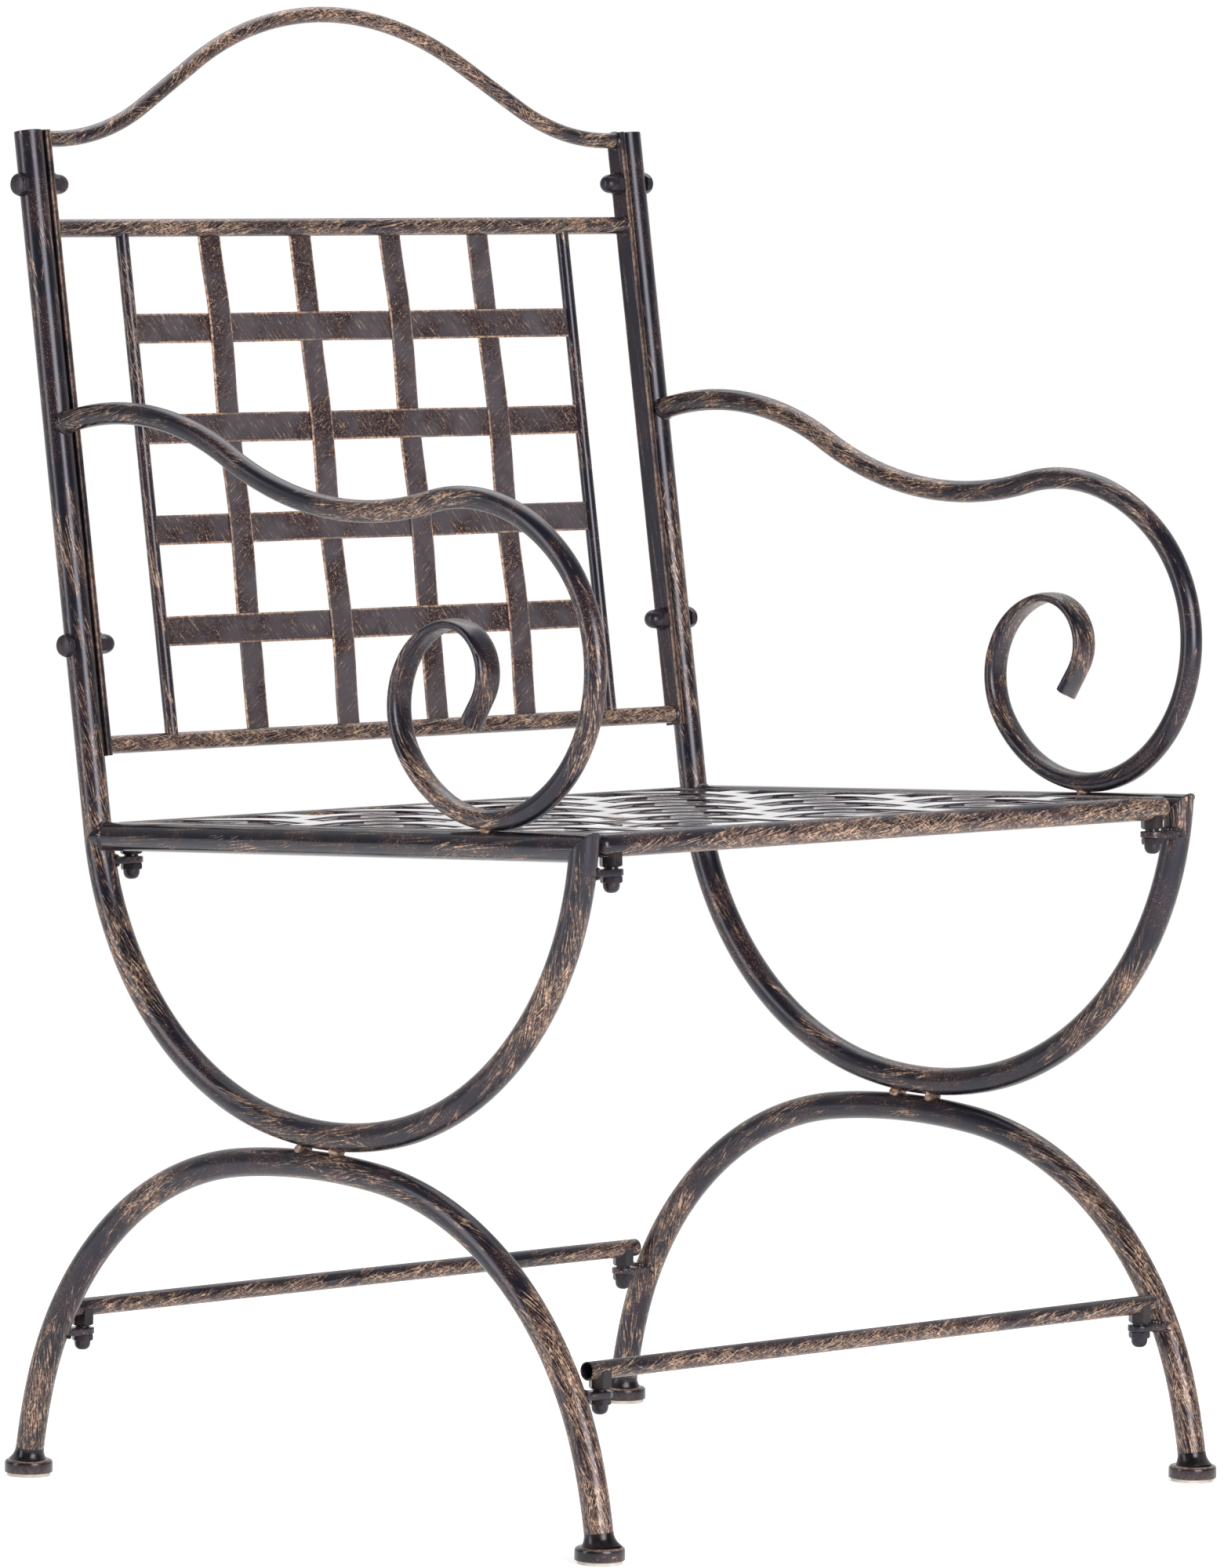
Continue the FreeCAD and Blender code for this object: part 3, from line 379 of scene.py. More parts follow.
# %% Finishes of the pieces
frame_paint = brushed_paint("brushed_frame_paint", slant=19, stroke=0.020)
rail_paint = brushed_paint("densely_brushed_rail_paint", reach=0.20, speckle=0.5, slant=26, stroke=0.018)
dark_rail_paint = brushed_paint("thinly_brushed_rail_paint", reach=-0.05, speckle=0.35, streak=0.25,
                                gloss=0.17, coat=0.3, polish=0.08, slant=19, stroke=0.020)
stile_paint = brushed_paint("plain_stile_paint", reach=-0.15, speckle=0.1, streak=0.2)
strap_paint = brushed_paint("scratched_strap_paint", reach=-0.22, speckle=0.75, streak=0.0, scratch=0.6,
                            base=paint(80, 73, 77), gloss=0.32, relief=0.0)
seat_strap_paint = brushed_paint("glossy_seat_strap_paint", reach=-0.4, speckle=0.05, streak=0.0,
                                 base=paint(80, 69, 76), gloss=0.20, relief=0.0, coat=1.0, polish=0.04)
fitting_paint = brushed_paint("rubbed_fitting_paint", reach=-0.02, speckle=0.5, mapped=False)
weld_paint = brushed_paint("rubbed_weld_paint", reach=0.25, speckle=1.0, mapped=False, rubbed=0.40)
cup_paint = brushed_paint("rubbed_cup_paint", reach=-0.15, speckle=0.2, streak=0.0, base=paint(12, 12, 16),
                          mapped=False, gloss=0.22)
finishes = (frame_paint, rail_paint, dark_rail_paint, stile_paint, strap_paint, seat_strap_paint,
            fitting_paint, weld_paint, cup_paint)
print("brushed finishes:", ", ".join(finish.name for finish in finishes))

# %% [markdown]
# Bolts and nuts were painted plain satin black and never brushed, and the studs and the thick welds
# round the feet a glossier black. The glides under the feet are off-white plastic. One flat colour
# would look like a drawing, so each drifts a little, and its skin has faint waves, as paint has.

# %% Plain finishes
drift_scale, wave_scale = 120.0, 900.0
plain_sheen, wave_strength = 0.4, 0.2


def plain_finish(name, colour, worn, roughness):
    """A colour that drifts a little towards its worn shade, with a faint orange-peel surface."""
    material, tree, shader = start_material(name)
    spot = add(tree, "ShaderNodeTexCoord").outputs["Object"]
    drift = fine_noise(tree, spot, drift_scale, 4.0)
    tree.links.new(blend(tree, ramp(tree, drift, 0.4, 0.75), colour, worn), shader.inputs["Base Color"])
    tree.links.new(ramp(tree, drift, 0.3, 0.7, roughness - 0.05, roughness + 0.1), shader.inputs["Roughness"])
    shader.inputs["Specular IOR Level"].default_value = plain_sheen
    shader.inputs["Specular Tint"].default_value = sheen_tint
    waves = fine_noise(tree, spot, wave_scale, 2.0)
    inputs = {"Height": waves, "Strength": wave_strength, "Distance": relief_depth}
    tree.links.new(add(tree, "ShaderNodeBump", inputs).outputs[0], shader.inputs["Normal"])
    return material


bolt_paint = plain_finish("satin_black_bolts", paint(34, 29, 35), paint(54, 43, 48), 0.32)
weld_black = plain_finish("glossy_black_welds", paint(20, 19, 22), paint(52, 42, 38), 0.22)
glide_plastic = plain_finish("off_white_glides", paint(226, 220, 208), paint(190, 180, 164), 0.5)
print("materials", len(bpy.data.materials))

# %% [markdown]
# The sizes of the real chair, in metres and degrees. They are the same few sizes that its solids were
# made from, and everything else is worked out from them or read from the frame's own boxes.

# %% Sizes of the side frames
frame_x, tube_radius, tube_wall = 0.270, 0.009, 0.0015
corner_height, side_depth, seat_fall = 0.4295, 0.4310, 2.5
post_lean, post_length, weld_gap = 9.0, 0.428, 0.001
bowl_drop, bowl_flattening, bowl_bottom_turn = 0.191, 0.050, 24.0
foot_spacing, foot_lead, arch_foot_slope = 0.5085, 0.0195, 82.5
arch_leg_turn, arch_crown_turn, arch_crown_ratio = 9.0, 14.0, 2.3
cup_radius, cup_top = 0.01535, 0.0105

front_foot_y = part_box("right_foot_cups")[0].y + cup_radius
rear_foot_y = front_foot_y + foot_spacing
corner_y = front_foot_y + foot_lead
post_y = corner_y + side_depth
sides = {"right": 1, "left": -1}
side_places = {side: sign * frame_x for side, sign in sides.items()}
print("front foot at y =", round(front_foot_y, 5), "post at y =", round(post_y, 5))

# %% [markdown]
# Nearly every piece is a round tube or a flat strap carried along a line. The line is straight runs
# and bends, as a tube bender makes them. Curves with a bevel would also do it, but rows worked out
# here also know how far along each point is, and the brushed finish needs that.

# %% Lines
bend_pitch, run_pitch = 0.003, 0.024
x_axis, y_axis, z_axis = np.eye(3)


def sin(angle):
    """Sine of an angle in degrees."""
    return math.sin(math.radians(angle))


def cos(angle):
    """Cosine of an angle in degrees."""
    return math.cos(math.radians(angle))


def tan(angle):
    """Tangent of an angle in degrees."""
    return math.tan(math.radians(angle))


def route(start, heading, steps, pitch=bend_pitch):
    """Rows of two places, heading and distance along runs (length, 0) and bends (radius, turn), drawn
    in a plane. A point of a bend is its centre plus the radius turned by the heading there."""
    y, z = start
    heading = math.radians(heading)
    rows, gone = [], 0.0
    for size, turn in steps:
        turn = math.radians(turn)
        length = size * abs(turn) if turn else size
        share = np.linspace(0, 1, 2 + int(length / (pitch if turn else run_pitch)))
        headings = heading + turn * share
        if turn:
            side = math.copysign(size, turn)
            ys = y + side * (np.sin(headings) - math.sin(heading))
            zs = z - side * (np.cos(headings) - math.cos(heading))
        else:
            ys, zs = y + size * share * math.cos(heading), z + size * share * math.sin(heading)
        rows.append(np.column_stack([ys, zs, headings, gone + length * share])[1 if rows else 0:])
        y, z, heading = ys[-1], zs[-1], headings[-1]
        gone += length
    return np.vstack(rows)


def on_plane(line, origin, first, second):
    """A flat line stood up in space: centres, directions ahead and upward normals. A place is the
    origin plus its two numbers times the plane's two axes."""
    across, above, heading = line[:, 0:1], line[:, 1:2], line[:, 2:3]
    centres = origin + across * first + above * second
    ahead = np.cos(heading) * first + np.sin(heading) * second
    up = np.cos(heading) * second - np.sin(heading) * first
    return centres, ahead, up


def in_side_plane(line, x):
    """A line of the side frame that stands at x."""
    return on_plane(line, x * x_axis, y_axis, z_axis)


print("a quarter bend of radius 0.1 is", round(route((0, 0), 0, [(0.1, 90)])[-1, 3], 4), "m long")

# %% [markdown]
# A section is a closed ring of points: a circle for a tube, a rounded bar for a strap. The bar also
# says which of its points lie on its edges, because the bronze catches there. A bevel modifier could
# round the bar, but it would not know which points are worn.

# %% Sections
ring_count = 40
rear_seam = 0
top_loss = 0.22


def circle(radius, seam=180, count=ring_count):
    """Points (radius times cosine, radius times sine), one turn from the seam's angle on."""
    angle = math.radians(seam) + np.arange(count) * 2 * np.pi / count
    return radius * np.column_stack([np.cos(angle), np.sin(angle)])


def bar_section(width, thickness, corner, band, arc=3):
    """Rounded bar: four quarter circles about the inner corners, and points a band's width from each
    edge on the flats. The second array is 1 on the corners and 0 on the flats."""
    points, edges = [], []
    half_width, half_thickness = width / 2, thickness / 2
    for quarter, (right, top) in enumerate(((1, 1), (-1, 1), (-1, -1), (1, -1))):
        angle = np.radians(90 * quarter + np.linspace(0, 90, arc))
        middle = np.array([right * (half_width - corner), top * (half_thickness - corner)])
        points.append(middle + corner * np.column_stack([np.cos(angle), np.sin(angle)]))
        edges.append(np.ones(arc))
        if quarter % 2 == 0:
            flat = np.array([half_width - band, 0, band - half_width]) * right
            points.append(np.column_stack([flat, np.full(3, top * half_thickness)]))
            edges.append(np.zeros(3))
        elif half_thickness - corner > corner:
            points.append(np.array([[right * half_width, 0]]))
            edges.append(np.zeros(1))
    points, edges = np.vstack(points), np.concatenate(edges)
    apart = np.linalg.norm(points - np.roll(points, 1, 0), axis=1) > 1e-6
    return points[apart], edges[apart]


def less_bronze_on_top(seam=0):
    """Less bronze on the upper side of a level tube, so that its top is darker: minus the loss times
    the sine of the ring's angle, where that is above zero."""
    angle = math.radians(seam) + np.arange(ring_count) * 2 * np.pi / ring_count
    return -top_loss * np.clip(np.sin(angle), 0, 1)


print("a tube's ring has", ring_count, "points", round(2 * math.pi * tube_radius / ring_count, 5), "m apart")

# %% [markdown]
# Carrying a section along a line gives a grid of points, and neighbours in the grid make the faces.
# A tube's end is more of the same: rings that draw in, either to a round end or over the rim and back
# down the bore. The grid also knows how far each point is along and round the piece, which becomes
# the flat map that the brush marks lie on.

# %% Grids
rim_share = 0.2


def carried(frames, section):
    """Carry a section, points (across, above), along a line: point = centre + across times the side
    plus above times up, where the side is up crossed with ahead."""
    centres, ahead, up = frames
    side = np.cross(up, ahead)
    return (centres[:, None] + section[..., 0, None] * side[:, None]
            + section[..., 1, None] * up[:, None])


def end_rings(ring, centre, ahead, profile):
    """Rings that close a tube's end: each is the last ring, drawn in towards the centre by an inset
    and moved ahead by a reach."""
    inset, reach = np.reshape(profile, (-1, 2)).T
    spread = ring - centre
    shrink = 1 - inset[:, None] / np.linalg.norm(spread, axis=1)
    return centre + spread * shrink[..., None] + reach[:, None, None] * ahead


def round_end(radius, steps=6):
    """Quarter circle: the inset is the radius times one minus the cosine of an angle, and the reach is
    the radius times its sine. It stops just short of the pole."""
    angle = np.radians(np.linspace(0, 88, steps + 1)[1:])
    return np.column_stack([radius * (1 - np.cos(angle)), radius * np.sin(angle)])


def open_end(wall, depth):
    """A tube cut square: over the rim, whose corners are a little rounded, and back down the bore."""
    rim = rim_share * wall
    return np.array([(rim, rim), (wall - rim / 2, rim), (wall, 0), (wall, -depth)])


def patch(grid, wear_and_bore_shade=0.0, dense=0.0, loop=False):
    """Points, faces, flat map, wear with painted bore shade, and density of a grid whose columns close
    on themselves. The map is the mean distance along and the mean distance round. A grid that is not a
    loop gets a cap at each end."""
    rows, columns = grid.shape[:2]
    far = np.roll(grid, -1, 0) if loop else grid[1:]
    along = np.linalg.norm(far - (grid if loop else grid[:-1]), axis=2).mean(1)
    along = np.concatenate([[0], np.cumsum(along)])
    around = np.linalg.norm(np.roll(grid, -1, 1) - grid, axis=2).mean(0)
    around = np.concatenate([[0], np.cumsum(around)])
    i, j = (a.ravel() for a in np.meshgrid(np.arange(rows if loop else rows - 1), np.arange(columns),
                                           indexing="ij"))
    next_i, next_j = (i + 1) % rows, (j + 1) % columns
    quads = np.column_stack([i * columns + j, i * columns + next_j, next_i * columns + next_j,
                             next_i * columns + j])
    maps = np.stack([along[[i, i, i + 1, i + 1]], around[[j, j + 1, j + 1, j]]], -1)
    maps = maps.transpose(1, 0, 2).reshape(-1, 2)
    caps, cap_maps = [], np.zeros((0, 2))
    if not loop:
        ring = np.arange(columns)
        caps = [ring[::-1], ring + (rows - 1) * columns]
        cap_maps = np.vstack([np.column_stack([np.full(columns, along[0]), around[:-1]])[::-1],
                              np.column_stack([np.full(columns, along[-1]), around[:-1]])])
    marks = [np.broadcast_to(mark, (rows, columns)).ravel() for mark in (wear_and_bore_shade, dense)]
    return grid.reshape(-1, 3), quads, caps, maps, cap_maps, marks


def closed(grid, frames, start=(), end=(), wear_and_bore_shade=0.0, dense=0.0):
    """Patch of a carried grid with its end rings. Rings that lie back from an end are inside a bore,
    and get -1 instead of a wear, which paints shade on them."""
    centres, ahead, _ = frames
    head = end_rings(grid[0], centres[0], -ahead[0], start)[::-1]
    tail = end_rings(grid[-1], centres[-1], ahead[-1], end)
    inside = [np.reshape(profile, (-1, 2))[:, 1:] <= 0 for profile in (start, end)]
    wear_and_bore_shade = np.tile(wear_and_bore_shade, (len(grid), 1))
    # Rings inside a bore get -1: painted shade there.
    wear_and_bore_shade = np.concatenate([np.where(inside[0][::-1], -1, wear_and_bore_shade[:1]), wear_and_bore_shade, np.where(inside[1], -1, wear_and_bore_shade[-1:])])
    dense = np.pad(np.broadcast_to(dense, grid.shape[:2]), ((len(head), len(tail)), (0, 0)), "edge")
    return patch(np.concatenate([head, grid, tail]), wear_and_bore_shade, dense)


def tube(frames, section, start=(), end=(), wear_and_bore_shade=0.0, dense=0.0):
    """A section carried along a line, with its end rings."""
    return closed(carried(frames, section), frames, start, end, wear_and_bore_shade, dense)


print("a round end of radius 0.005 has rings at", np.round(round_end(0.005)[:, 1], 4).tolist())

# %% [markdown]
# One function turns patches into an object. A piece may be many patches, such as all the nuts of one
# kind, because one object with many shells is lighter than many objects. The function checks itself: a
# piece that stands for a solid of the frame prints how far the two boxes differ, in millimetres.

# %% Build
made_pieces = []
map_shift = 0.37
sharp_angle = 35


def box_gap(points, nodes):
    """Largest distance between the box of some points and the box of the nodes they stand for."""
    boxes = [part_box(node) for node in nodes]
    low = np.min([np.array(box[0]) for box in boxes], axis=0)
    high = np.max([np.array(box[1]) for box in boxes], axis=0)
    return 1000 * max(np.abs(points.min(0) - low).max(), np.abs(points.max(0) - high).max())


def build(name, patches, material, nodes=()):
    """One object from patches, riding on the chair's only body and standing for its nodes. Each
    piece's map starts a shift further on than the one before, so that two like pieces don't show the
    same strokes at the same place."""
    base = np.cumsum([0] + [len(p[0]) for p in patches])
    points = np.vstack([p[0] for p in patches])
    quads = np.vstack([p[1] + base[k] for k, p in enumerate(patches)])
    caps = [(cap + base[k]).tolist() for k, p in enumerate(patches) for cap in p[2]]
    maps = np.vstack([p[3] for p in patches] + [p[4] for p in patches])
    mesh = bpy.data.meshes.new(name)
    mesh.from_pydata(points, [], quads.tolist() + caps)
    layer = mesh.uv_layers.new(name="brush")
    shift = (map_shift * len(made_pieces), 0)
    layer.data.foreach_set("uv", (maps + shift).astype(np.float32).ravel())
    for count, mark in enumerate(("wear_and_bore_shade", "dense")):
        attribute = mesh.attributes.new(mark, "FLOAT", "POINT")
        values = np.concatenate([p[5][count] for p in patches])
        attribute.data.foreach_set("value", values.astype(np.float32))
    mesh.shade_smooth()
    mesh.set_sharp_from_angle(angle=math.radians(sharp_angle))
    mesh.materials.append(material)
    made = bpy.data.objects.new(name, mesh)
    bpy.context.scene.collection.objects.link(made)
    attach(made, "root")
    if nodes:
        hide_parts(*nodes)
    made_pieces.append(name)
    print(name, len(mesh.polygons), "faces", f"box differs {box_gap(points, nodes):.2f} mm" if nodes else "")


# %% [markdown]
# Each side frame has a half-round bowl that runs on into the back post. Two side arcs and a flatter
# bottom arc make it. It could be drawn by eye, but a bent tube has no kinks: the bowl has to run
# smoothly into the leaning post and still pass through the front corner, and that condition is a
# quadratic in the radius.

# %% Line of the bowl and post


def rail_height(y):
    """Height of the side rail's axis."""
    return corner_height - (y - corner_y) * tan(seat_fall)


def bowl_circles():
    """Side radius, middle and height of the side arcs' centres, and their shift from the middle. The
    front side arc passes through the corner: the run plus the slope times the radius, squared, plus
    the low point plus the radius, squared, make the radius squared."""
    half = bowl_bottom_turn / 2
    shift, drop = bowl_flattening * sin(half), bowl_flattening * (1 - cos(half))
    low = drop - bowl_drop
    base = post_y - shift + tan(post_lean) * low
    slope = (sin(post_lean) - 1) / cos(post_lean)
    run = base - shift - corner_y
    linear = run * slope + low
    radius = (-math.sqrt(linear ** 2 - slope ** 2 * (run ** 2 + low ** 2)) - linear) / slope ** 2
    return radius, base + slope * radius, corner_height + low + radius, shift


bowl_radius, bowl_y, bowl_side_height, bowl_shift = bowl_circles()
corner_slope = math.degrees(math.asin((bowl_side_height - corner_height) / bowl_radius))


def bowl_line():
    """From the top of the post, less its rounded rim, down to the front corner."""
    tangent_y = bowl_y + bowl_shift + bowl_radius * cos(post_lean)
    tangent_z = bowl_side_height - bowl_radius * sin(post_lean)
    station = post_length - rim_share * tube_wall
    top = (post_y + station * sin(post_lean), corner_height + station * cos(post_lean))
    half = bowl_bottom_turn / 2
    steps = [(math.dist(top, (tangent_y, tangent_z)), 0), (bowl_radius, post_lean + half - 90),
             (bowl_radius + bowl_flattening, -bowl_bottom_turn), (bowl_radius, corner_slope + half - 90)]
    return route(top, -90 - post_lean, steps)


print("bowl radius", round(bowl_radius, 4), "corner slope", round(corner_slope, 2))

# %% [markdown]
# At the front corner the bowl's tube and the side rail are cut to one mitre plane and welded. A cut
# alone would leave a hard outer corner, and on the real chair it is a little rounded. A bevel would
# round the rest of the joint too, so each point near the outer corner moves in by itself before its
# ring slides to the plane.

# %% Mitred corner


def mitred(points, ahead, spot, normal):
    """Slide a ring along its tube until it lies in a plane: each point moves by its distance to the
    plane over the slope between the tube and the plane's normal."""
    return points + (((spot - points) @ normal) / np.dot(ahead, normal))[:, None] * ahead


mitre = np.array([0, cos(seat_fall) - sin(corner_slope), cos(corner_slope) - sin(seat_fall)])
mitre = mitre / np.linalg.norm(mitre)
corner_outward = np.array([0, -mitre[2], mitre[1]])
corner_ease, eased_reach, eased_rows, corner_zone = 0.0070, 0.012, 11, 0.03


def finer(line, distances):
    """A line with more rows, each column interpolated at the new distances."""
    distances = np.union1d(line[:, 3], distances)
    return np.column_stack([np.interp(distances, line[:, 3], column) for column in line.T])


def eased_corner(frames, x, to_corner):
    """Tube whose end lies in the mitre plane and whose outer corner is rounded. A point whose way to
    the plane is g moves in by R times one minus the cosine of a, where the sine of a is the tangent of
    the half turn minus g over R, and R fades to nothing round the tube. No point passes the plane."""
    spot = np.array([x, corner_y, corner_height])
    whole = carried(frames, circle(tube_radius))
    near = np.linalg.norm(frames[0] - spot, axis=1) < corner_zone
    centres, ahead, _ = (part[near] for part in frames)
    grid = whole[near]
    outward = (grid - centres[:, None]) / tube_radius
    ahead = to_corner * ahead[:, None]
    slope = np.sum(ahead * mitre, -1)
    turn = np.arccos(np.abs(slope)[:, 0].max())
    way = ((spot - grid) @ mitre) / slope
    radius = corner_ease * np.clip(outward @ corner_outward, 0, 1) + 1e-6
    angle = np.arcsin(np.clip(np.tan(turn) - way / radius, 0, np.sin(turn)))
    grid = grid - (radius * (1 - np.cos(angle)))[..., None] * outward
    way = ((spot - grid) @ mitre) / slope
    end = 0 if to_corner < 0 else -1
    slide = np.minimum(way, 0)
    slide[end] = way[end]
    whole[near] = grid + slide[..., None] * ahead
    return whole


print("the mitre plane's normal is", mitre.round(3).tolist())

# %% [markdown]
# The bowl and the post are one bent tube, so they are one piece here as well. Two pieces would show a
# seam in the brush marks. The hand brushed the top of the post thinly, its foot and the front of the
# bowl more and the rear of the bowl thinly again, so the brushing is a few values along the tube.

# %% Bowl and post
post_bore_depth = 0.004
post_brushing = ([0, 0.22, 0.34, 0.50, 0.60, 0.80], [-0.05, -0.05, 0.08, 0.04, -0.02, 0.05])


def post_bowl(x):
    """Round tube along the bowl's line, open at the top. The brush's reach is interpolated between
    the distances from the top and the values of the brushing."""
    line = bowl_line()
    line = finer(line, line[-1, 3] - np.linspace(0, eased_reach, eased_rows))
    frames = in_side_plane(line, x)
    grid = eased_corner(frames, x, 1)
    dense = np.interp(line[:, 3], *post_brushing)[:, None]
    return closed(grid, frames, start=open_end(tube_wall, post_bore_depth), dense=dense)


for side, x in side_places.items():
    build(side + "_post_bowl_brushed", [post_bowl(x)], frame_paint, [side + "_post_bowl"])

# %% [markdown]
# The side rail is a straight tube from the mitred front corner into the post, and falls 2.5 degrees
# to the rear. On the real chair its rear end is coped to fit the round post. Here it simply runs on to
# the post's axis, because the post and the weld hide it.

# %% Side rails


def rail_line():
    """From the front corner down to the post's axis."""
    reach = side_depth * cos(post_lean) / cos(post_lean - seat_fall)
    return route((corner_y, corner_height), -seat_fall, [(reach, 0)])


def side_rail(x):
    """Round tube along the rail's line, with the mitre at its start."""
    frames = in_side_plane(finer(rail_line(), np.linspace(0, eased_reach, eased_rows)), x)
    grid = eased_corner(frames, x, -1)
    return closed(grid, frames, dense=less_bronze_on_top(seam=180))


for side, x in side_places.items():
    build(side + "_side_rail_brushed", [side_rail(x)], dark_rail_paint, [side + "_side_rail"])

# %% [markdown]
# The leg arch stands on two feet. A slow bend at each foot, two shoulders and a flat crown make it,
# and two equations give the two unknown radii from its span and its rise.

# %% Leg arches
arch_top = corner_height - bowl_drop - 2 * tube_radius - weld_gap
arch_brushing = ([0, 0.18, 0.30], [0.14, 0.08, 0.03])


def arch_radii():
    """Leg and shoulder radius from the sums of all sideways and all upward parts of the arcs."""
    flat, knee = arch_crown_turn / 2, arch_foot_slope - arch_leg_turn
    across = [sin(arch_foot_slope) - sin(knee), sin(knee) - sin(flat) + arch_crown_ratio * sin(flat)]
    upward = [cos(knee) - cos(arch_foot_slope), cos(flat) - cos(knee) + arch_crown_ratio * (1 - cos(flat))]
    return np.linalg.solve([across, upward], [foot_spacing / 2, arch_top - cup_top])


arch_leg_radius, arch_shoulder_radius = arch_radii()


def arch_line():
    """From the front foot over the crown to the rear foot."""
    leg = (arch_leg_radius, -arch_leg_turn)
    shoulder = (arch_shoulder_radius, -(arch_foot_slope - arch_leg_turn - arch_crown_turn / 2))
    crown = (arch_shoulder_radius * arch_crown_ratio, -arch_crown_turn)
    return route((front_foot_y, cup_top), arch_foot_slope, [leg, shoulder, crown, shoulder, leg])


def leg_arch(x):
    """Round tube along the arch's line, cut level at the cups. More bronze lies near the feet."""
    line = arch_line()
    frames = in_side_plane(line, x)
    grid = carried(frames, circle(tube_radius))
    for end in (0, -1):
        grid[end] = mitred(grid[end], frames[1][end], np.array([x, 0, cup_top]), z_axis)
    from_foot = np.minimum(line[:, 3], line[-1, 3] - line[:, 3])
    return closed(grid, frames, dense=np.interp(from_foot, *arch_brushing)[:, None])


for side, x in side_places.items():
    build(side + "_leg_arch_brushed", [leg_arch(x)], frame_paint, [side + "_leg_arch"])
print("arch radii", round(arch_leg_radius, 4), round(arch_shoulder_radius, 4))

# %% [markdown]
# The arm is a thinner tube. It leaves the post, dips, rises under the hand, drops round the nose,
# comes down to a peg on the side rail and winds up into a scroll. From the front of the scroll's loop
# on, the maker pressed the tube flatter and flatter, and the last stretch is straight. So its section
# is an oval whose two half axes keep the mean square of the round tube's radius, which nearly keeps
# the length of the skin.

# %% Arms
arm_radius, arm_peg_setback, arm_peg_gap = 0.007, 0.0808, 0.0003
loop_radius, loop_front_turn, loop_rear_turn = 0.084, 32.8, 55.9
inner_radius, inner_turn, eye_radius, eye_turn, scroll_tail = 0.0519, 111.4, 0.0293, 135.0, 0.0196
scroll_end_thickness = 0.0065
hammered_length, hammered_thickness, hammered_width, end_skew = 0.014, 0.0054, 0.0204, 0.35
pressed_power, scroll_end_profile = 0.66, [(0.0004, 0.0003), (0.0012, 0.0006)]
armrest_bends = [(0.0949, -106.2), (0.1207, -55.7), (0.2439, 43.1)]
arm_rise_radius = 0.1979
armrest_brushing = ([0.05, 0.15], [-0.06, 0.03])
arm_extra_brushing = {"right": 0.07, "left": 0.0}


def arm_thickness(distance):
    """Full before the front of the loop, then thinner at an even rate until the eye begins."""
    pressed = math.radians(loop_radius * (loop_front_turn + loop_rear_turn) + inner_radius * inner_turn)
    share = np.clip(distance / pressed, 0, 1)
    return 2 * arm_radius + share * (scroll_end_thickness - 2 * arm_radius)


def arm_touchdown():
    """Lowest point of the scroll's axis, a small gap above the side rail."""
    y = corner_y + arm_peg_setback
    thickness = arm_thickness(math.radians(loop_radius * loop_front_turn))
    return y, rail_height(y) + (tube_radius + thickness / 2 + arm_peg_gap) / cos(seat_fall)


def arm_line():
    """From the scroll's inner end round it and along the armrest to the post. The last column is the
    distance into the scroll from the front of its loop, and is zero on the armrest. The last bend ends
    on the post's axis: its centre's distance from that axis, over its radius, is the sine of the angle
    between the last heading and a line square to the post."""
    front_y, front_z, heading = route(arm_touchdown(), 180, [(loop_radius, -loop_front_turn)])[-1, :3]
    heading = math.degrees(heading)
    inner = route((front_y, front_z), heading - 180, [(loop_radius, loop_front_turn + loop_rear_turn),
                                                      (inner_radius, inner_turn), (eye_radius, eye_turn),
                                                      (scroll_tail, 0)])
    outer = route((front_y, front_z), heading, armrest_bends)
    end_y, end_z, end_heading = outer[-1, 0], outer[-1, 1], math.degrees(outer[-1, 2])
    centre_y = end_y + arm_rise_radius * sin(end_heading)
    centre_z = end_z - arm_rise_radius * cos(end_heading)
    away = (post_y - centre_y) * cos(post_lean) - (corner_height - centre_z) * sin(post_lean)
    last_heading = -math.degrees(math.asin(away / arm_rise_radius)) - post_lean
    rise = route((end_y, end_z), end_heading, [(arm_rise_radius, (last_heading - end_heading) % -360)])
    outer = np.vstack([outer * (1, 1, 1, 0), rise[1:] * (1, 1, 1, 0)])
    back = inner[:0:-1] + (0, 0, math.pi, 0)
    return np.vstack([back, outer])


def arm_scroll(x, brushed_more):
    """Pressed rings carried along the arm: a point is the wide half axis times the cosine of its angle
    and the thin one times the sine, each to a power. Across the bend the tube is wide, in its plane
    it is thin. The more it is pressed, the smaller is the power and the flatter are the faces. The
    very end is hammered quite flat and a little askew."""
    line = arm_line()
    thin = arm_thickness(line[:, 3]) / 2
    wide = np.sqrt(2 * arm_radius ** 2 - thin ** 2)
    power = np.interp(thin, [scroll_end_thickness / 2, arm_radius], [pressed_power, 1.0])[:, None, None]
    hammered = np.clip(1 - (line[-1, 3] + line[0, 3] - line[:, 3]) / hammered_length, 0, 1)
    hammered = np.where(line[:, 3] > 0, hammered, 0)
    thin = thin + hammered * (hammered_thickness / 2 - thin)
    wide = wide + hammered * (hammered_width / 2 - wide)
    ring = circle(1.0)
    section = np.sign(ring) * np.abs(ring) ** power * np.column_stack([wide, thin])[:, None]
    frames = in_side_plane(line, x)
    skew = end_skew * hammered[:, None, None] * section[..., :1] * frames[1][:, None]
    from_nose = line[:, 0] - line[:, 0].min()
    dense = np.where(line[:, 3] > 0, 0.0, np.interp(from_nose, *armrest_brushing))[:, None]
    return closed(carried(frames, section) + skew, frames, start=scroll_end_profile,
                  dense=dense + brushed_more)


for side, x in side_places.items():
    build(side + "_arm_scroll_brushed", [arm_scroll(x, arm_extra_brushing[side])], frame_paint,
          [side + "_arm_scroll"])

# %% [markdown]
# The back is a welded panel that leans with the posts. Its pieces could be made upright and turned
# afterwards, but then their places would be hard to compare with the posts. Instead it has its own
# plane: stations run up it from the level of the front corner, and a positive offset comes forward.

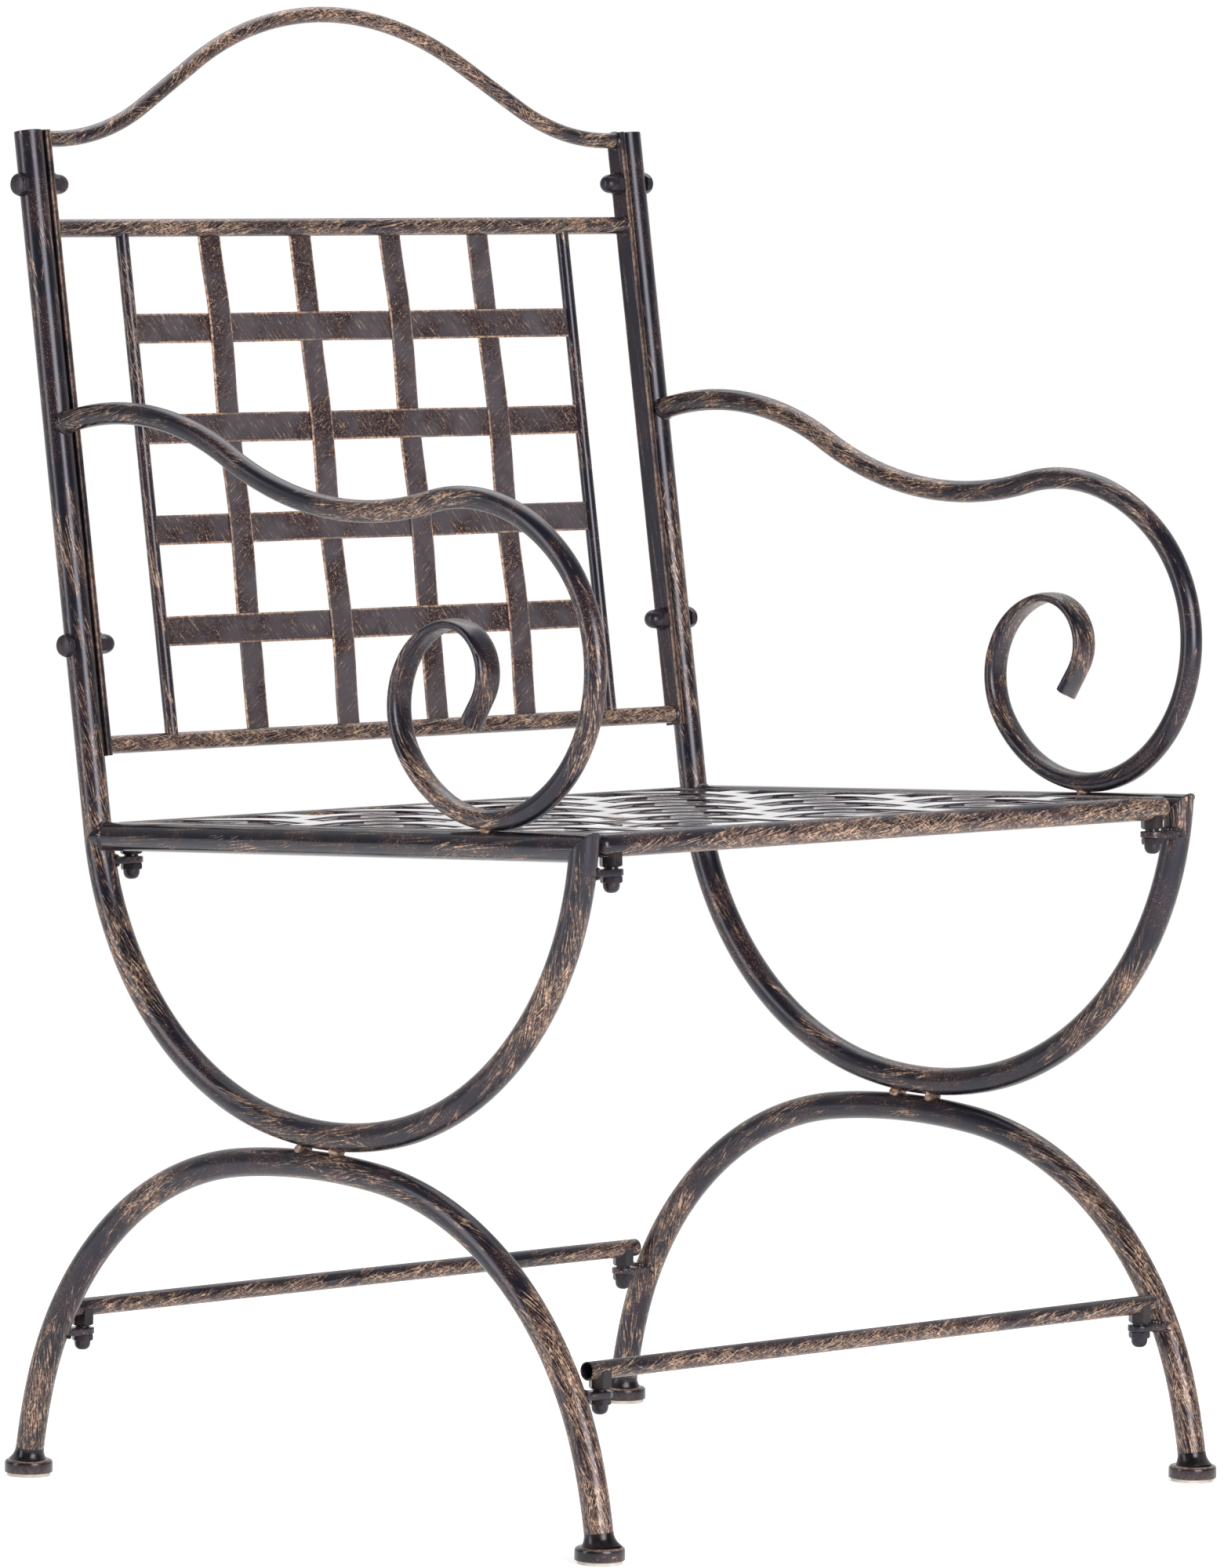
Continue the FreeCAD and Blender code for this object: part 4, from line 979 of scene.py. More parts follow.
# %% Plane of the back
panel_origin = np.array([0, post_y, corner_height])
panel_up = np.array([0, sin(post_lean), cos(post_lean)])
panel_front = np.array([0, -cos(post_lean), sin(post_lean)])
stile_inner_x, stile_thickness, stile_width, stile_tail = 0.257, 0.004, 0.014, 0.007
bottom_station, top_station = 0.038, 0.366


def across_back(line, station=0.0):
    """A line drawn along X and out of the panel, at one station."""
    return on_plane(line, panel_origin + station * panel_up, x_axis, panel_front)


def up_back(line, x):
    """A line drawn up the panel and out of it, at one x."""
    return on_plane(line, panel_origin + x * x_axis, panel_up, panel_front)


print("panel from station", bottom_station, "to", top_station, "m, leaning", post_lean, "degrees")

# %% [markdown]
# The two stiles are flat bars with slightly broken edges, bolted to the posts. Bronze catches on their
# edges as thin bright lines. They are one bar section on a straight line, because nothing bends them.

# %% Stiles
stile_corner, stile_band, stile_wear = 0.0006, 0.0015, 0.5
stile_section, stile_edges = bar_section(stile_width, stile_thickness, stile_corner, stile_band)


def stile(x):
    """Bar from a little below the bottom rail to the level of the post's top."""
    line = route((bottom_station - stile_tail, x), 0, [(post_length - bottom_station + stile_tail, 0)])
    frames = on_plane(line, panel_origin, panel_up, x_axis)
    return tube(frames, stile_section, wear_and_bore_shade=stile_wear * stile_edges)


for side, sign in sides.items():
    x = sign * (stile_inner_x + stile_thickness / 2)
    build("back_stile_" + side + "_brushed", [stile(x)], stile_paint, ["back_stile_" + side])

# %% [markdown]
# The crest rises from both stiles in one smooth wave. A spline could follow it, but a bender makes
# arcs: one radius at each foot and a larger one at the crown, joined by straight runs. The radii
# follow from its rise.

# %% Crest
crest_radius, crest_end_station, crest_rise = 0.0051, 0.423, 0.082
crest_end_run, crest_slope_share, crest_crown_share = 0.008, 0.82, 0.60


def crest_line():
    """Foot, run, crown, run and foot. The half width is the two radii times the sine of the slope plus
    the run times its cosine. The rise is the two radii times one minus the cosine plus the run times
    the sine. These two give the sum of the radii and the run."""
    half = stile_inner_x - crest_end_run
    slope = crest_slope_share * 2 * math.degrees(math.atan(crest_rise / half))
    radii = (half * sin(slope) - crest_rise * cos(slope)) / (1 - cos(slope))
    straight = (half - radii * sin(slope)) / cos(slope)
    crown = crest_crown_share * radii
    steps = [(crest_end_run, 0), (radii - crown, slope), (straight, 0), (crown, -2 * slope), (straight, 0),
             (radii - crown, slope), (crest_end_run, 0)]
    return route((-stile_inner_x, crest_end_station), 0, steps)


crest_frames = on_plane(crest_line(), panel_origin, x_axis, panel_up)
build("back_crest_brushed", [tube(crest_frames, circle(crest_radius, rear_seam))], rail_paint,
      ["back_crest"])

# %% [markdown]
# Two level rails and two upright rods carry the weave. They are plain straight rounds, the same circle
# on a straight line. The rods run on to the rails' axes, because the rails hide their ends.

# %% Back rails and rods
back_rail_radius, back_rod_radius, back_rod_x = 0.0057, 0.00425, 0.1985
rod_ring_count = 28


def back_rail(station):
    """Round tube from stile to stile."""
    line = route((-stile_inner_x, 0), 0, [(2 * stile_inner_x, 0)])
    return tube(across_back(line, station), circle(back_rail_radius, rear_seam))


def back_rod(x):
    """Round rod from the bottom rail's axis to the top rail's."""
    line = route((bottom_station, 0), 0, [(top_station - bottom_station, 0)])
    return tube(up_back(line, x), circle(back_rod_radius, count=rod_ring_count))


for name, station in (("top", top_station), ("bottom", bottom_station)):
    build(f"back_{name}_rail_brushed", [back_rail(station)], rail_paint, [f"back_{name}_rail"])
for side, sign in sides.items():
    build(f"back_rod_{side}_brushed", [back_rod(sign * back_rod_x)], frame_paint,
          [f"back_rod_{side}"])

# %% [markdown]
# The straps are woven: each passes over one and under the next. A cloth-like wave would be wrong for
# steel, so between two crossings a strap makes two equal gentle bends, one each way, and lies level
# at every crossing.

# %% Woven straps of the back
strap_width, strap_thickness, weave_offset = 0.019, 0.0015, 0.0009
upright_count, upright_pitch, upright_setback = 4, 0.0807, 0.002
cross_count, cross_pitch = 4, 0.0645
strap_band, weave_pitch = 0.0016, 0.005
strap_section, strap_edges = bar_section(strap_width, strap_thickness, strap_thickness / 2, strap_band)


def spread(count, pitch):
    """Places of a row of pieces, centred on zero."""
    return (np.arange(count) - (count - 1) / 2) * pitch


def over_or_under(first, second):
    """Plain weave: the sign changes from each crossing to the next."""
    return weave_offset * (1 - 2 * ((first + second) % 2))


def woven_line(stops):
    """Line that swings from stop to stop. With swing s over length l, each of the two bends turns by
    twice the arctangent of s over l on a radius of (l squared + s squared) over 4 s."""
    steps = []
    for (near, low), (away, high) in zip(stops, stops[1:]):
        length, swing = away - near, high - low
        if abs(swing) < 1e-9:
            steps.append((length, 0))
            continue
        turn = 2 * math.degrees(math.atan(swing / length))
        radius = (length ** 2 + swing ** 2) / (4 * abs(swing))
        steps += [(radius, turn), (radius, -turn)]
    return route(stops[0], 0, steps, pitch=weave_pitch)


upright_places = spread(upright_count, upright_pitch)
cross_stations = top_station - (np.arange(cross_count) + 1) * cross_pitch


def upright_strap(count):
    """Strap from rail to rail that stops over or under each cross strap."""
    rows = np.arange(cross_count)[::-1]
    stops = [(bottom_station, -upright_setback)]
    stops += list(zip(cross_stations[rows], over_or_under(count, rows)))
    stops += [(top_station, -upright_setback)]
    return tube(up_back(woven_line(stops), upright_places[count]), strap_section, wear_and_bore_shade=strap_edges)


def cross_strap(count):
    """Strap from rod to rod that stops on the other side of each upright strap."""
    stops = [(-back_rod_x, 0)]
    stops += list(zip(upright_places, -over_or_under(np.arange(upright_count), count)))
    stops += [(back_rod_x, 0)]
    return tube(across_back(woven_line(stops), cross_stations[count]), strap_section, wear_and_bore_shade=strap_edges)


for count in range(upright_count):
    name = f"back_upright_strap_{count + 1}"
    build(name + "_brushed", [upright_strap(count)], strap_paint, [name])
for count in range(cross_count):
    name = f"back_cross_strap_{count + 1}"
    build(name + "_brushed", [cross_strap(count)], strap_paint, [name])

# %% [markdown]
# The seat is a welded panel too. Its plane runs from the axis of the front rail to the axis of the
# rear rail, and both are read from the frame's boxes. The rails are tubes with closed, rounded ends.
# A bevel could round them, but a row of shrinking rings does it without any modifier.

# %% Seat rails and rods
seat_rail_radius, seat_rail_half, seat_rail_end = 0.0075, 0.258, 0.005
seat_rod_radius, rod_x = 0.00425, 0.2455


def axis_of(node):
    """Middle of a node's box."""
    low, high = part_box(node)
    return (np.array(low) + np.array(high)) / 2


seat_origin = axis_of("seat_front_rail") * (0, 1, 1)
seat_run = axis_of("seat_rear_rail") * (0, 1, 1) - seat_origin
seat_length = float(np.linalg.norm(seat_run))
seat_back = seat_run / seat_length
seat_up = np.cross(x_axis, seat_back)


def across_seat(line, place, rise=0.0):
    """A line drawn along X and up out of the seat."""
    return on_plane(line, seat_origin + place * seat_back + rise * seat_up, x_axis, seat_up)


def along_seat(line, x, rise=0.0):
    """A line drawn from front to rear and up out of the seat."""
    return on_plane(line, seat_origin + x * x_axis + rise * seat_up, seat_back, seat_up)


def seat_rail(place):
    """Tube across the seat, whose rounded ends reach the rail's half length."""
    half = seat_rail_half - seat_rail_end
    line = route((-half, 0), 0, [(2 * half, 0)])
    rounded = round_end(seat_rail_end)
    return tube(across_seat(line, place), circle(seat_rail_radius, rear_seam), rounded, rounded,
                dense=less_bronze_on_top())


def seat_rod(x):
    """Rod from axis to axis, raised until its top is level with the rails' tops."""
    line = route((0, 0), 0, [(seat_length, 0)])
    frames = along_seat(line, x, seat_rail_radius - seat_rod_radius)
    return tube(frames, circle(seat_rod_radius, count=rod_ring_count))


for name, place in (("front", 0), ("rear", seat_length)):
    build(f"seat_{name}_rail_brushed", [seat_rail(place)], rail_paint, [f"seat_{name}_rail"])
for side, sign in sides.items():
    build(f"seat_rod_{side}_brushed", [seat_rod(sign * rod_x)], frame_paint,
          [f"seat_rod_{side}"])
print("seat length", round(seat_length, 4), "falls", round(math.degrees(math.asin(-seat_back[2])), 2))

# %% [markdown]
# The seat is woven from the same flat strap: seven straps run from front to rear and five across,
# level with the top of the rails. One sheet with a picture of a weave would do from far off, but seen
# from low down it would be a plain plate, so every strap is its own bent bar. Nobody brushed their
# edges with bronze, so the wear there is below zero.

# %% Woven straps of the seat
lengthwise_count, lengthwise_pitch = 7, 0.065
crosswise_count, crosswise_pitch = 5, 0.070
weave_rise, seat_edge_wear = 0.0060, -0.5

lengthwise_places = spread(lengthwise_count, lengthwise_pitch)
crosswise_places = seat_length / 2 + spread(crosswise_count, crosswise_pitch)


def lengthwise_strap(count):
    """Strap from rail to rail that stops over or under each crosswise strap."""
    stops = [(0, 0)]
    stops += list(zip(crosswise_places, over_or_under(count, np.arange(crosswise_count))))
    stops += [(seat_length, 0)]
    frames = along_seat(woven_line(stops), lengthwise_places[count], weave_rise)
    return tube(frames, strap_section, wear_and_bore_shade=seat_edge_wear * strap_edges)


def crosswise_strap(count):
    """Strap from rod to rod that stops on the other side of each lengthwise strap."""
    stops = [(-rod_x, 0)]
    stops += list(zip(lengthwise_places, -over_or_under(np.arange(lengthwise_count), count)))
    stops += [(rod_x, 0)]
    frames = across_seat(woven_line(stops), crosswise_places[count], weave_rise)
    return tube(frames, strap_section, wear_and_bore_shade=seat_edge_wear * strap_edges)


for count in range(lengthwise_count):
    name = f"seat_lengthwise_strap_{count + 1}"
    build(name + "_brushed", [lengthwise_strap(count)], seat_strap_paint, [name])
for count in range(crosswise_count):
    name = f"seat_crosswise_strap_{count + 1}"
    build(name + "_brushed", [crosswise_strap(count)], seat_strap_paint, [name])

# %% [markdown]
# The stretchers are thin tubes that were simply cut square, so each end shows a narrow rim and a dark
# bore. An end closed with a black disc would show no inner wall, so the bore is a real one, and deep
# enough to be dark. Its inner wall also has no bronze, which is painted shade.

# %% Stretchers
stretcher_radius, stretcher_wall, stretcher_half, bore_depth = 0.00575, 0.0012, 0.257, 0.045
stretcher_axes = {name: axis_of(name + "_stretcher") * (0, 1, 1) for name in ("front", "rear")}


def stretcher(axis):
    """Straight tube along X with both ends open. Its rims reach the stretcher's half length."""
    half = stretcher_half - rim_share * stretcher_wall
    line = route((-half, 0), 0, [(2 * half, 0)])
    square = open_end(stretcher_wall, bore_depth)
    return tube(on_plane(line, axis, x_axis, z_axis), circle(stretcher_radius, rear_seam), square, square,
                dense=less_bronze_on_top())


for name, axis in stretcher_axes.items():
    build(name + "_stretcher_brushed", [stretcher(axis)], rail_paint, [name + "_stretcher"])

# %% [markdown]
# Nuts, bolts, cups and glides are turned pieces: a ring of radii at each height along an axis. A
# hexagon is a ring whose radius changes on the way round, and a chamfer is the smaller of the hexagon
# and a cone, which gives the curved corner lines that every real nut has. A boolean cut would give
# them too, but leaves untidy faces.

# %% Turned pieces
turn_count = 48
chamfer_slope, chamfer_start = 1.73, 0.97
dome_power, dome_rings = 0.75, 9
nut_rows = np.array([0, 0.04, 0.08, 0.13, 0.5, 0.87, 0.92, 0.96, 1.0])


def turned(spot, axis, radii, heights, wear_and_bore_shade=0.0):
    """Rings about an axis: point = spot + height times the axis + radius times the direction round."""
    axis = np.array(axis, float)
    radii = np.broadcast_to(radii, (len(heights), turn_count))
    helper = y_axis if abs(axis[1]) < 0.9 else z_axis
    up = helper - np.dot(helper, axis) * axis
    up = np.tile(up / np.linalg.norm(up), (len(heights), 1))
    angle = np.arange(turn_count) * 2 * np.pi / turn_count
    section = radii[..., None] * np.column_stack([np.cos(angle), np.sin(angle)])
    centres = np.array(spot) + np.asarray(heights)[:, None] * axis
    return patch(carried((centres, np.tile(axis, (len(heights), 1)), up), section), wear_and_bore_shade)


def hexagon(flats):
    """Distance from the middle to a hexagon's side all the way round: half the width across flats
    over the cosine of the angle from the middle of the side."""
    angle = np.arange(turn_count) * 360 / turn_count
    return flats / 2 / np.cos(np.radians(angle % 60 - 30))


def chamfered(flats, heights, low, high):
    """The smaller of the hexagon and a cone that starts a little inside the flats at both faces and
    widens by its slope times the distance from the nearer face."""
    room = np.minimum(np.abs(heights - low), np.abs(high - heights))
    cone = chamfer_start * flats / 2 + chamfer_slope * room
    return np.minimum(hexagon(flats), cone[:, None])


def dome_profile(radius, low, height):
    """Rounded cap, fuller than a ball: radius times the cosine and height times the sine of an angle,
    both to a power below one."""
    angle = np.radians(np.linspace(0, 86, dome_rings))
    rise = np.sin(angle) / np.sin(angle[-1])
    return radius * np.cos(angle) ** dome_power, low + height * rise ** dome_power


def cap_nut(spot, axis, flats, height, dome_radius, dome_height):
    """Chamfered hexagon with a dome on it. Its rows lie close together where the chamfers are."""
    body_heights = nut_rows * height
    body = chamfered(flats, body_heights, 0, height)
    dome, dome_heights = dome_profile(dome_radius, height, dome_height)
    radii = np.vstack([body, np.tile(dome[:, None], turn_count)])
    return turned(spot, axis, radii, np.concatenate([body_heights, dome_heights]))


print("corners of a 13 mm hexagon lie", round(1000 * hexagon(0.013).max(), 2), "mm from its middle")

# %% [markdown]
# The back is held by four bolts with cap nuts. Each bolt goes in from outside, through the post and
# the stile, and its nut sits inside. Each head shows a round face, because its chamfer is deep. The
# thread inside the nut is a plain shank, because nobody can see it.

# %% Back bolts and nuts
bolt_radius, bolt_flats, bolt_head_height, bolt_grip = 0.004, 0.013, 0.0053, 0.009
head_rows = np.array([0, 0.04, 0.1, 0.5, 0.66, 0.78, 0.86, 0.93, 1.0])
head_bevel = np.array([0.97, 1.03, 2, 2, 1.12, 1.06, 1.01, 0.96, 0.86])
large_nut = dict(flats=0.013, height=0.0055, dome_radius=0.0064, dome_height=0.009)
bolt_stations = (0.102, 0.394)


def back_bolt(x, station):
    """Shank, then the head. Each row of the head is the smaller of the hexagon and the bevel, a share
    of half its flats, so that its inner face is flat and its outer face is chamfered deeply."""
    outward = math.copysign(1, x) * x_axis
    spot = panel_origin + station * panel_up + (frame_x + tube_radius) * outward
    shank = 2 * tube_radius + stile_thickness + bolt_grip
    head = np.minimum(hexagon(bolt_flats), head_bevel[:, None] * bolt_flats / 2)
    radii = np.vstack([np.full((2, turn_count), bolt_radius), head])
    return turned(spot, outward, radii, np.concatenate([[-shank, 0], head_rows * bolt_head_height]))


def back_nut(x, station):
    """Cap nut on the stile's inner face, with its dome towards the other side."""
    inward = -math.copysign(1, x) * x_axis
    spot = panel_origin + station * panel_up - stile_inner_x * inward
    return cap_nut(spot, inward, **large_nut)


both_sides = [(x, station) for x in (1, -1) for station in bolt_stations]
build("back_bolts_painted", [back_bolt(*place) for place in both_sides], bolt_paint,
      ["back_bolts"])
build("back_cap_nuts_painted", [back_nut(*place) for place in both_sides], bolt_paint,
      ["back_cap_nuts"])

# %% [markdown]
# Under each rail end hangs a weld stud: a squashed hexagon against the rail, a collar that stands on
# the side frame's lug, and a thread that the cap nut closes from below. They could be made once and
# copied, but the seat and the stretchers differ in radius and in slope, so the same few functions hang
# them under any rail.

# %% Studs, lugs and small nuts
stud_radius, stud_flats, stud_head_height = 0.003, 0.0124, 0.0055
collar_radius, collar_height, stud_grip = 0.0045, 0.0015, 0.007
stud_chamfer_step, stud_chamfer_rows = 0.0003, np.array([3, 2, 1, 0])
lug_width, lug_thickness, lug_edge, lug_arc_points = 0.015, 0.004, 0.0006, 25
small_nut = dict(flats=0.0122, height=0.0044, dome_radius=0.0052, dome_height=0.006)


def stud(spot, down, rail_radius):
    """The head begins inside the rail, where its flats meet the round tube: the square root of the
    radius squared less half the flats squared, or the axis if the head is wider than the tube. Then
    come its chamfer, the collar and the thread."""
    foot = rail_radius + stud_head_height
    hidden = math.sqrt(max(rail_radius ** 2 - (stud_flats / 2) ** 2, 0))
    heights = np.concatenate([[hidden], foot - stud_chamfer_step * stud_chamfer_rows])
    head = chamfered(stud_flats, heights, -1, foot)
    bottom = foot + collar_height
    tip = bottom + lug_thickness + stud_grip
    rest = np.array([collar_radius, collar_radius, stud_radius, stud_radius])[:, None]
    radii = np.vstack([head, rest + np.zeros(turn_count)])
    return turned(spot, down, radii, np.concatenate([heights, [foot, bottom, bottom, tip]]))


def lug(x, spot, up, ahead, rail_radius):
    """Plate with a round end about the stud: a half circle and a straight back edge in the tube."""
    inward, across = -math.copysign(1, x) * x_axis, -math.copysign(1, x) * ahead
    reach = frame_x - rod_x
    angle = np.radians(np.linspace(-90, 90, lug_arc_points))
    nose = np.column_stack([reach + lug_width / 2 * np.cos(angle), lug_width / 2 * np.sin(angle)])
    back = [(0.0, lug_width / 2), (0.0, -lug_width / 2)]
    outline = np.vstack([nose, back]) - (reach / 2, 0)
    top = -(rail_radius + stud_head_height + collar_height)
    middle = spot - (reach / 2) * inward
    centres = middle + np.array([[top - lug_thickness + lug_edge], [top - lug_edge]]) * up
    frames = (centres, np.tile(up, (2, 1)), np.tile(across, (2, 1)))
    rounded = round_end(lug_edge, 3)
    return tube(frames, outline, rounded, rounded)


def hung_places(up, ahead, axes):
    """Every place where a stud hangs: its x, its spot on the rail's axis, and the directions there."""
    return [(x, axis + x * x_axis, up, ahead) for x in (rod_x, -rod_x) for axis in axes]


def nut_below(spot, up, rail_radius):
    """Cap nut under the lug: below the rail by its radius, the head, the collar and the lug."""
    drop = rail_radius + stud_head_height + collar_height + lug_thickness
    return cap_nut(spot - drop * up, -up, **small_nut)


seat_axes = [seat_origin, seat_origin + seat_length * seat_back]
hung = {"seat": (seat_rail_radius, hung_places(seat_up, seat_back, seat_axes)),
        "stretcher": (stretcher_radius, hung_places(z_axis, y_axis, list(stretcher_axes.values())))}
for name, (radius, places) in hung.items():
    build(name + "_studs_painted", [stud(spot, -up, radius) for _, spot, up, _ in places], weld_black,
          [name + "_studs"])
    build(name + "_cap_nuts_painted", [nut_below(spot, up, radius) for _, spot, up, _ in places], bolt_paint,
          [name + "_cap_nuts"])
    for side, sign in sides.items():
        plates = [lug(x, spot, up, ahead, radius) for x, spot, up, ahead in places if x * sign > 0]
        build(f"{side}_{name}_lugs_brushed", plates, fitting_paint,
              [f"{side}_{name}_lugs"])

# %% [markdown]
# Each foot ends in a pressed cup, open below, with a plastic glide in it. A solid disc would look the
# same from above, but not from below: so the cup's skin is one profile that comes down the inside,
# round the rim and up the outside, and its wall is real.

# %% Feet
cup_wall, cup_low, cup_rim, cup_shoulder, cup_bend = 0.0015, 0.0022, 0.0006, 0.0025, 0.001
glide_radius, glide_edge, pole = 0.01375, 0.0008, 0.0004
cup_rubbing = np.array([[0, 0, 0, 0, 0.15, 0.15, 0.15, 0.15, 0, 0, 0.2, 0.6, 0.2, 0, 0, 0]]).T


def foot_cup(x, y):
    """Ceiling, inner wall, rim, outer wall, rounded shoulder and top, from pole to pole. The rim is a
    quarter circle of the rim's radius, and the shoulder one of the shoulder's. A little bronze was
    rubbed on both."""
    inner, ceiling = cup_radius - cup_wall, cup_top - cup_wall
    bend = np.radians(np.linspace(0, 90, 7))
    lip = cup_radius - cup_rim + cup_rim * np.cos(np.radians(np.linspace(-90, 0, 4)))
    lip_height = cup_low + cup_rim + cup_rim * np.sin(np.radians(np.linspace(-90, 0, 4)))
    radii = np.concatenate([[pole, inner - cup_bend, inner, inner], lip,
                            cup_radius - cup_shoulder * (1 - np.cos(bend)), [pole]])
    heights = np.concatenate([[ceiling, ceiling, ceiling - cup_bend, cup_low], lip_height,
                              cup_top - cup_shoulder + cup_shoulder * np.sin(bend), [cup_top]])
    return turned((x, y, 0), z_axis, radii[:, None], heights, cup_rubbing)


def foot_glide(x, y):
    """Disc whose lower rim is a quarter circle of the edge's radius."""
    bend = np.radians(np.linspace(-90, 0, 5))
    radii = np.concatenate([[pole], glide_radius - glide_edge * (1 - np.cos(bend)), [glide_radius, pole]])
    heights = np.concatenate([[0], glide_edge * (1 + np.sin(bend)), [cup_top - cup_wall] * 2])
    return turned((x, y, 0), z_axis, radii[:, None], heights)


glides = []
for side, x in side_places.items():
    cups = [foot_cup(x, y) for y in (front_foot_y, rear_foot_y)]
    glides += [foot_glide(x, y) for y in (front_foot_y, rear_foot_y)]
    build(side + "_foot_cups_brushed", cups, cup_paint, [side + "_foot_cups"])
build("foot_glides_moulded", glides, glide_plastic, ["foot_glides"])

# %% [markdown]
# A cap closes the top of each post, flush with its rim. It could be a flat face across the tube, but
# as a thin disc of its own, with a broken edge, it leaves the fine dark line that the real one has.

# %% Post caps
cap_thickness, cap_edge = 0.002, 0.0003


def post_cap(x):
    """Disc as wide as the post's bore, from pole to pole, with one slanted ring for its edge."""
    radius = tube_radius - tube_wall
    spot = panel_origin + x * x_axis + post_length * panel_up
    radii = np.array([pole, radius, radius, radius - cap_edge, pole])[:, None]
    return turned(spot, panel_up, radii, np.array([-cap_thickness, -cap_thickness, -cap_edge, 0, 0]))


build("post_caps_painted", [post_cap(x) for x in side_places.values()], bolt_paint,
      ["post_caps"])

# %% [markdown]
# Welds make the chair look hand-made. Three shapes do for all of them: a fillet that flares out from
# a tube's end, a rippled bead that follows a joint, and a lump. They could be sculpted, but their
# unevenness is a sum of a few waves instead, so it is the same every time.

# %% Weld shapes
flare_power, flare_rings, skin_lift = 2.2, 9, 0.0001
root_share, root_depth, run_out = 0.9, 0.001, 0.0004
ripple, ripple_swell = 0.0018, 0.20
beat, beat_swell = 0.02 / 9.1, 0.12
bead_points, lump_points, lump_rings = 14, 28, 17
round_bulge, steep_bulge = 0.14, 0.10


def uneven(angle, seed):
    """Between 0 and 1 round a circle: three waves, of 2, 3 and 5 to the turn, whose phases depend on
    the seed. The higher a wave, the weaker it is."""
    total = sum(np.sin(wave * angle + seed * (1.7 + wave)) / (1 + 0.2 * wave) for wave in (2, 3, 5))
    return 0.5 + 0.5 * total / 1.9


def fillet(spot, axis, radius, flare, height, seed, least):
    """Skirt round a tube: radius plus the flare times one minus the share, to a power, where the share
    goes from 0 at the joint to 1 at the top. The flare is uneven round the tube, and least is its
    smallest share. One ring at each end draws in under the tube's skin."""
    angle = np.arange(turn_count) * 2 * np.pi / turn_count
    share = np.linspace(0, 1, flare_rings)
    flares = flare * (least + (1 - least) * uneven(angle, seed))
    radii = radius + skin_lift + flares * (1 - share[:, None]) ** flare_power
    radii = np.vstack([radii[:1] * root_share, radii, np.full((1, turn_count), radius * root_share)])
    heights = np.concatenate([[-root_depth], share * height, [height + run_out]])
    return turned(spot, axis, radii, heights)


def bead(path, away, size, loop=False):
    """Round section carried along a path: its size times one plus a sine for every ripple and a second
    sine that beats with it. An open path also tapers to its ends with the square root of a sine."""
    step = np.roll(path, -1, 0) - np.roll(path, 1, 0) if loop else np.gradient(path, axis=0)
    ahead = step / np.linalg.norm(step, axis=1)[:, None]
    up = away - np.sum(away * ahead, 1)[:, None] * ahead
    up = up / np.linalg.norm(up, axis=1)[:, None]
    gone = np.concatenate([[0], np.cumsum(np.linalg.norm(np.diff(path, axis=0), axis=1))])
    waves = ripple_swell * np.sin(2 * np.pi * gone / ripple) + beat_swell * np.sin(2 * np.pi * gone / beat)
    swell = size * (1 + waves)
    if not loop:
        swell = swell * np.sqrt(np.sin(np.pi * np.linspace(0.03, 0.97, len(path))))
    section = swell[:, None, None] * circle(1.0, count=bead_points)
    return patch(carried((path, ahead, up), section), loop=loop)


def lump(spot, sizes, seed):
    """Ball stretched to three sizes, its skin moved in and out by waves of both angles."""
    rise = np.radians(np.linspace(-86, 86, lump_rings))[:, None]
    angle = (np.arange(lump_points) * 2 * np.pi / lump_points)[None]
    skin = (1 + round_bulge * np.sin(3 * angle + seed) * np.cos(rise)
            + steep_bulge * np.sin(4 * rise + 2 * angle + 2 * seed))
    ball = np.stack([np.cos(rise) * np.cos(angle), np.cos(rise) * np.sin(angle),
                     np.sin(rise) + 0 * angle], -1) * skin[..., None]
    return patch(np.array(spot) + ball * np.array(sizes))


sample = uneven(np.linspace(0, 2 * math.pi, 99), 1)
print("unevenness round a weld goes from", round(sample.min(), 2), "to", round(sample.max(), 2))

# %% [markdown]
# The feet are welded to their cups with thick uneven skirts. The pegs between the bowl and the arch
# and under the scroll could be plain pins, but on the real chair they are little more than lumps of
# weld, rubbed bright with bronze.

# %% Foot skirts and peg lumps
skirt_flare, skirt_height, skirt_sink, skirt_least, skirt_seed_step = 0.0046, 0.0085, 0.0008, 0.55, 2.3
bowl_peg_spacing, bowl_peg_size = 0.031, (0.0068, 0.0029, 0.0042)
arm_peg_drop, arm_peg_size = 0.003, (0.0062, 0.0034, 0.0032)


def foot_skirts(x, seed):
    """One skirt at each foot, along the leg's own direction."""
    made = []
    for count, (y, lean) in enumerate(((front_foot_y, 1), (rear_foot_y, -1))):
        axis = np.array([0, lean * cos(arch_foot_slope), sin(arch_foot_slope)])
        spot = np.array([x, y, cup_top]) - skirt_sink * axis
        made.append(fillet(spot, axis, tube_radius, skirt_flare, skirt_height,
                           seed + skirt_seed_step * count, skirt_least))
    return made


def bowl_pegs(x, seed):
    """Two lumps on either side of the middle between the bowl's lowest and the arch's highest point."""
    closest_y = (bowl_y + (front_foot_y + rear_foot_y) / 2) / 2
    z = arch_top + tube_radius + weld_gap / 2
    return [lump((x, closest_y + sign * bowl_peg_spacing / 2, z), bowl_peg_size, seed + sign)
            for sign in (-1, 1)]


def arm_peg(x, seed):
    """One lump between the scroll's axis and the top of the side rail, dropped a little."""
    y, z = arm_touchdown()
    return lump((x, y, (z + rail_height(y) + tube_radius) / 2 - arm_peg_drop), arm_peg_size, seed)


for seed, (side, x) in enumerate(side_places.items()):
    build(side + "_foot_welds", foot_skirts(x, seed), weld_black)
build("bowl_pegs_welded", [p for seed, x in enumerate(side_places.values()) for p in bowl_pegs(x, seed)],
      weld_paint, ["bowl_pegs"])
build("arm_pegs_welded", [arm_peg(x, seed) for seed, x in enumerate(side_places.values())], weld_paint,
      ["arm_pegs"])

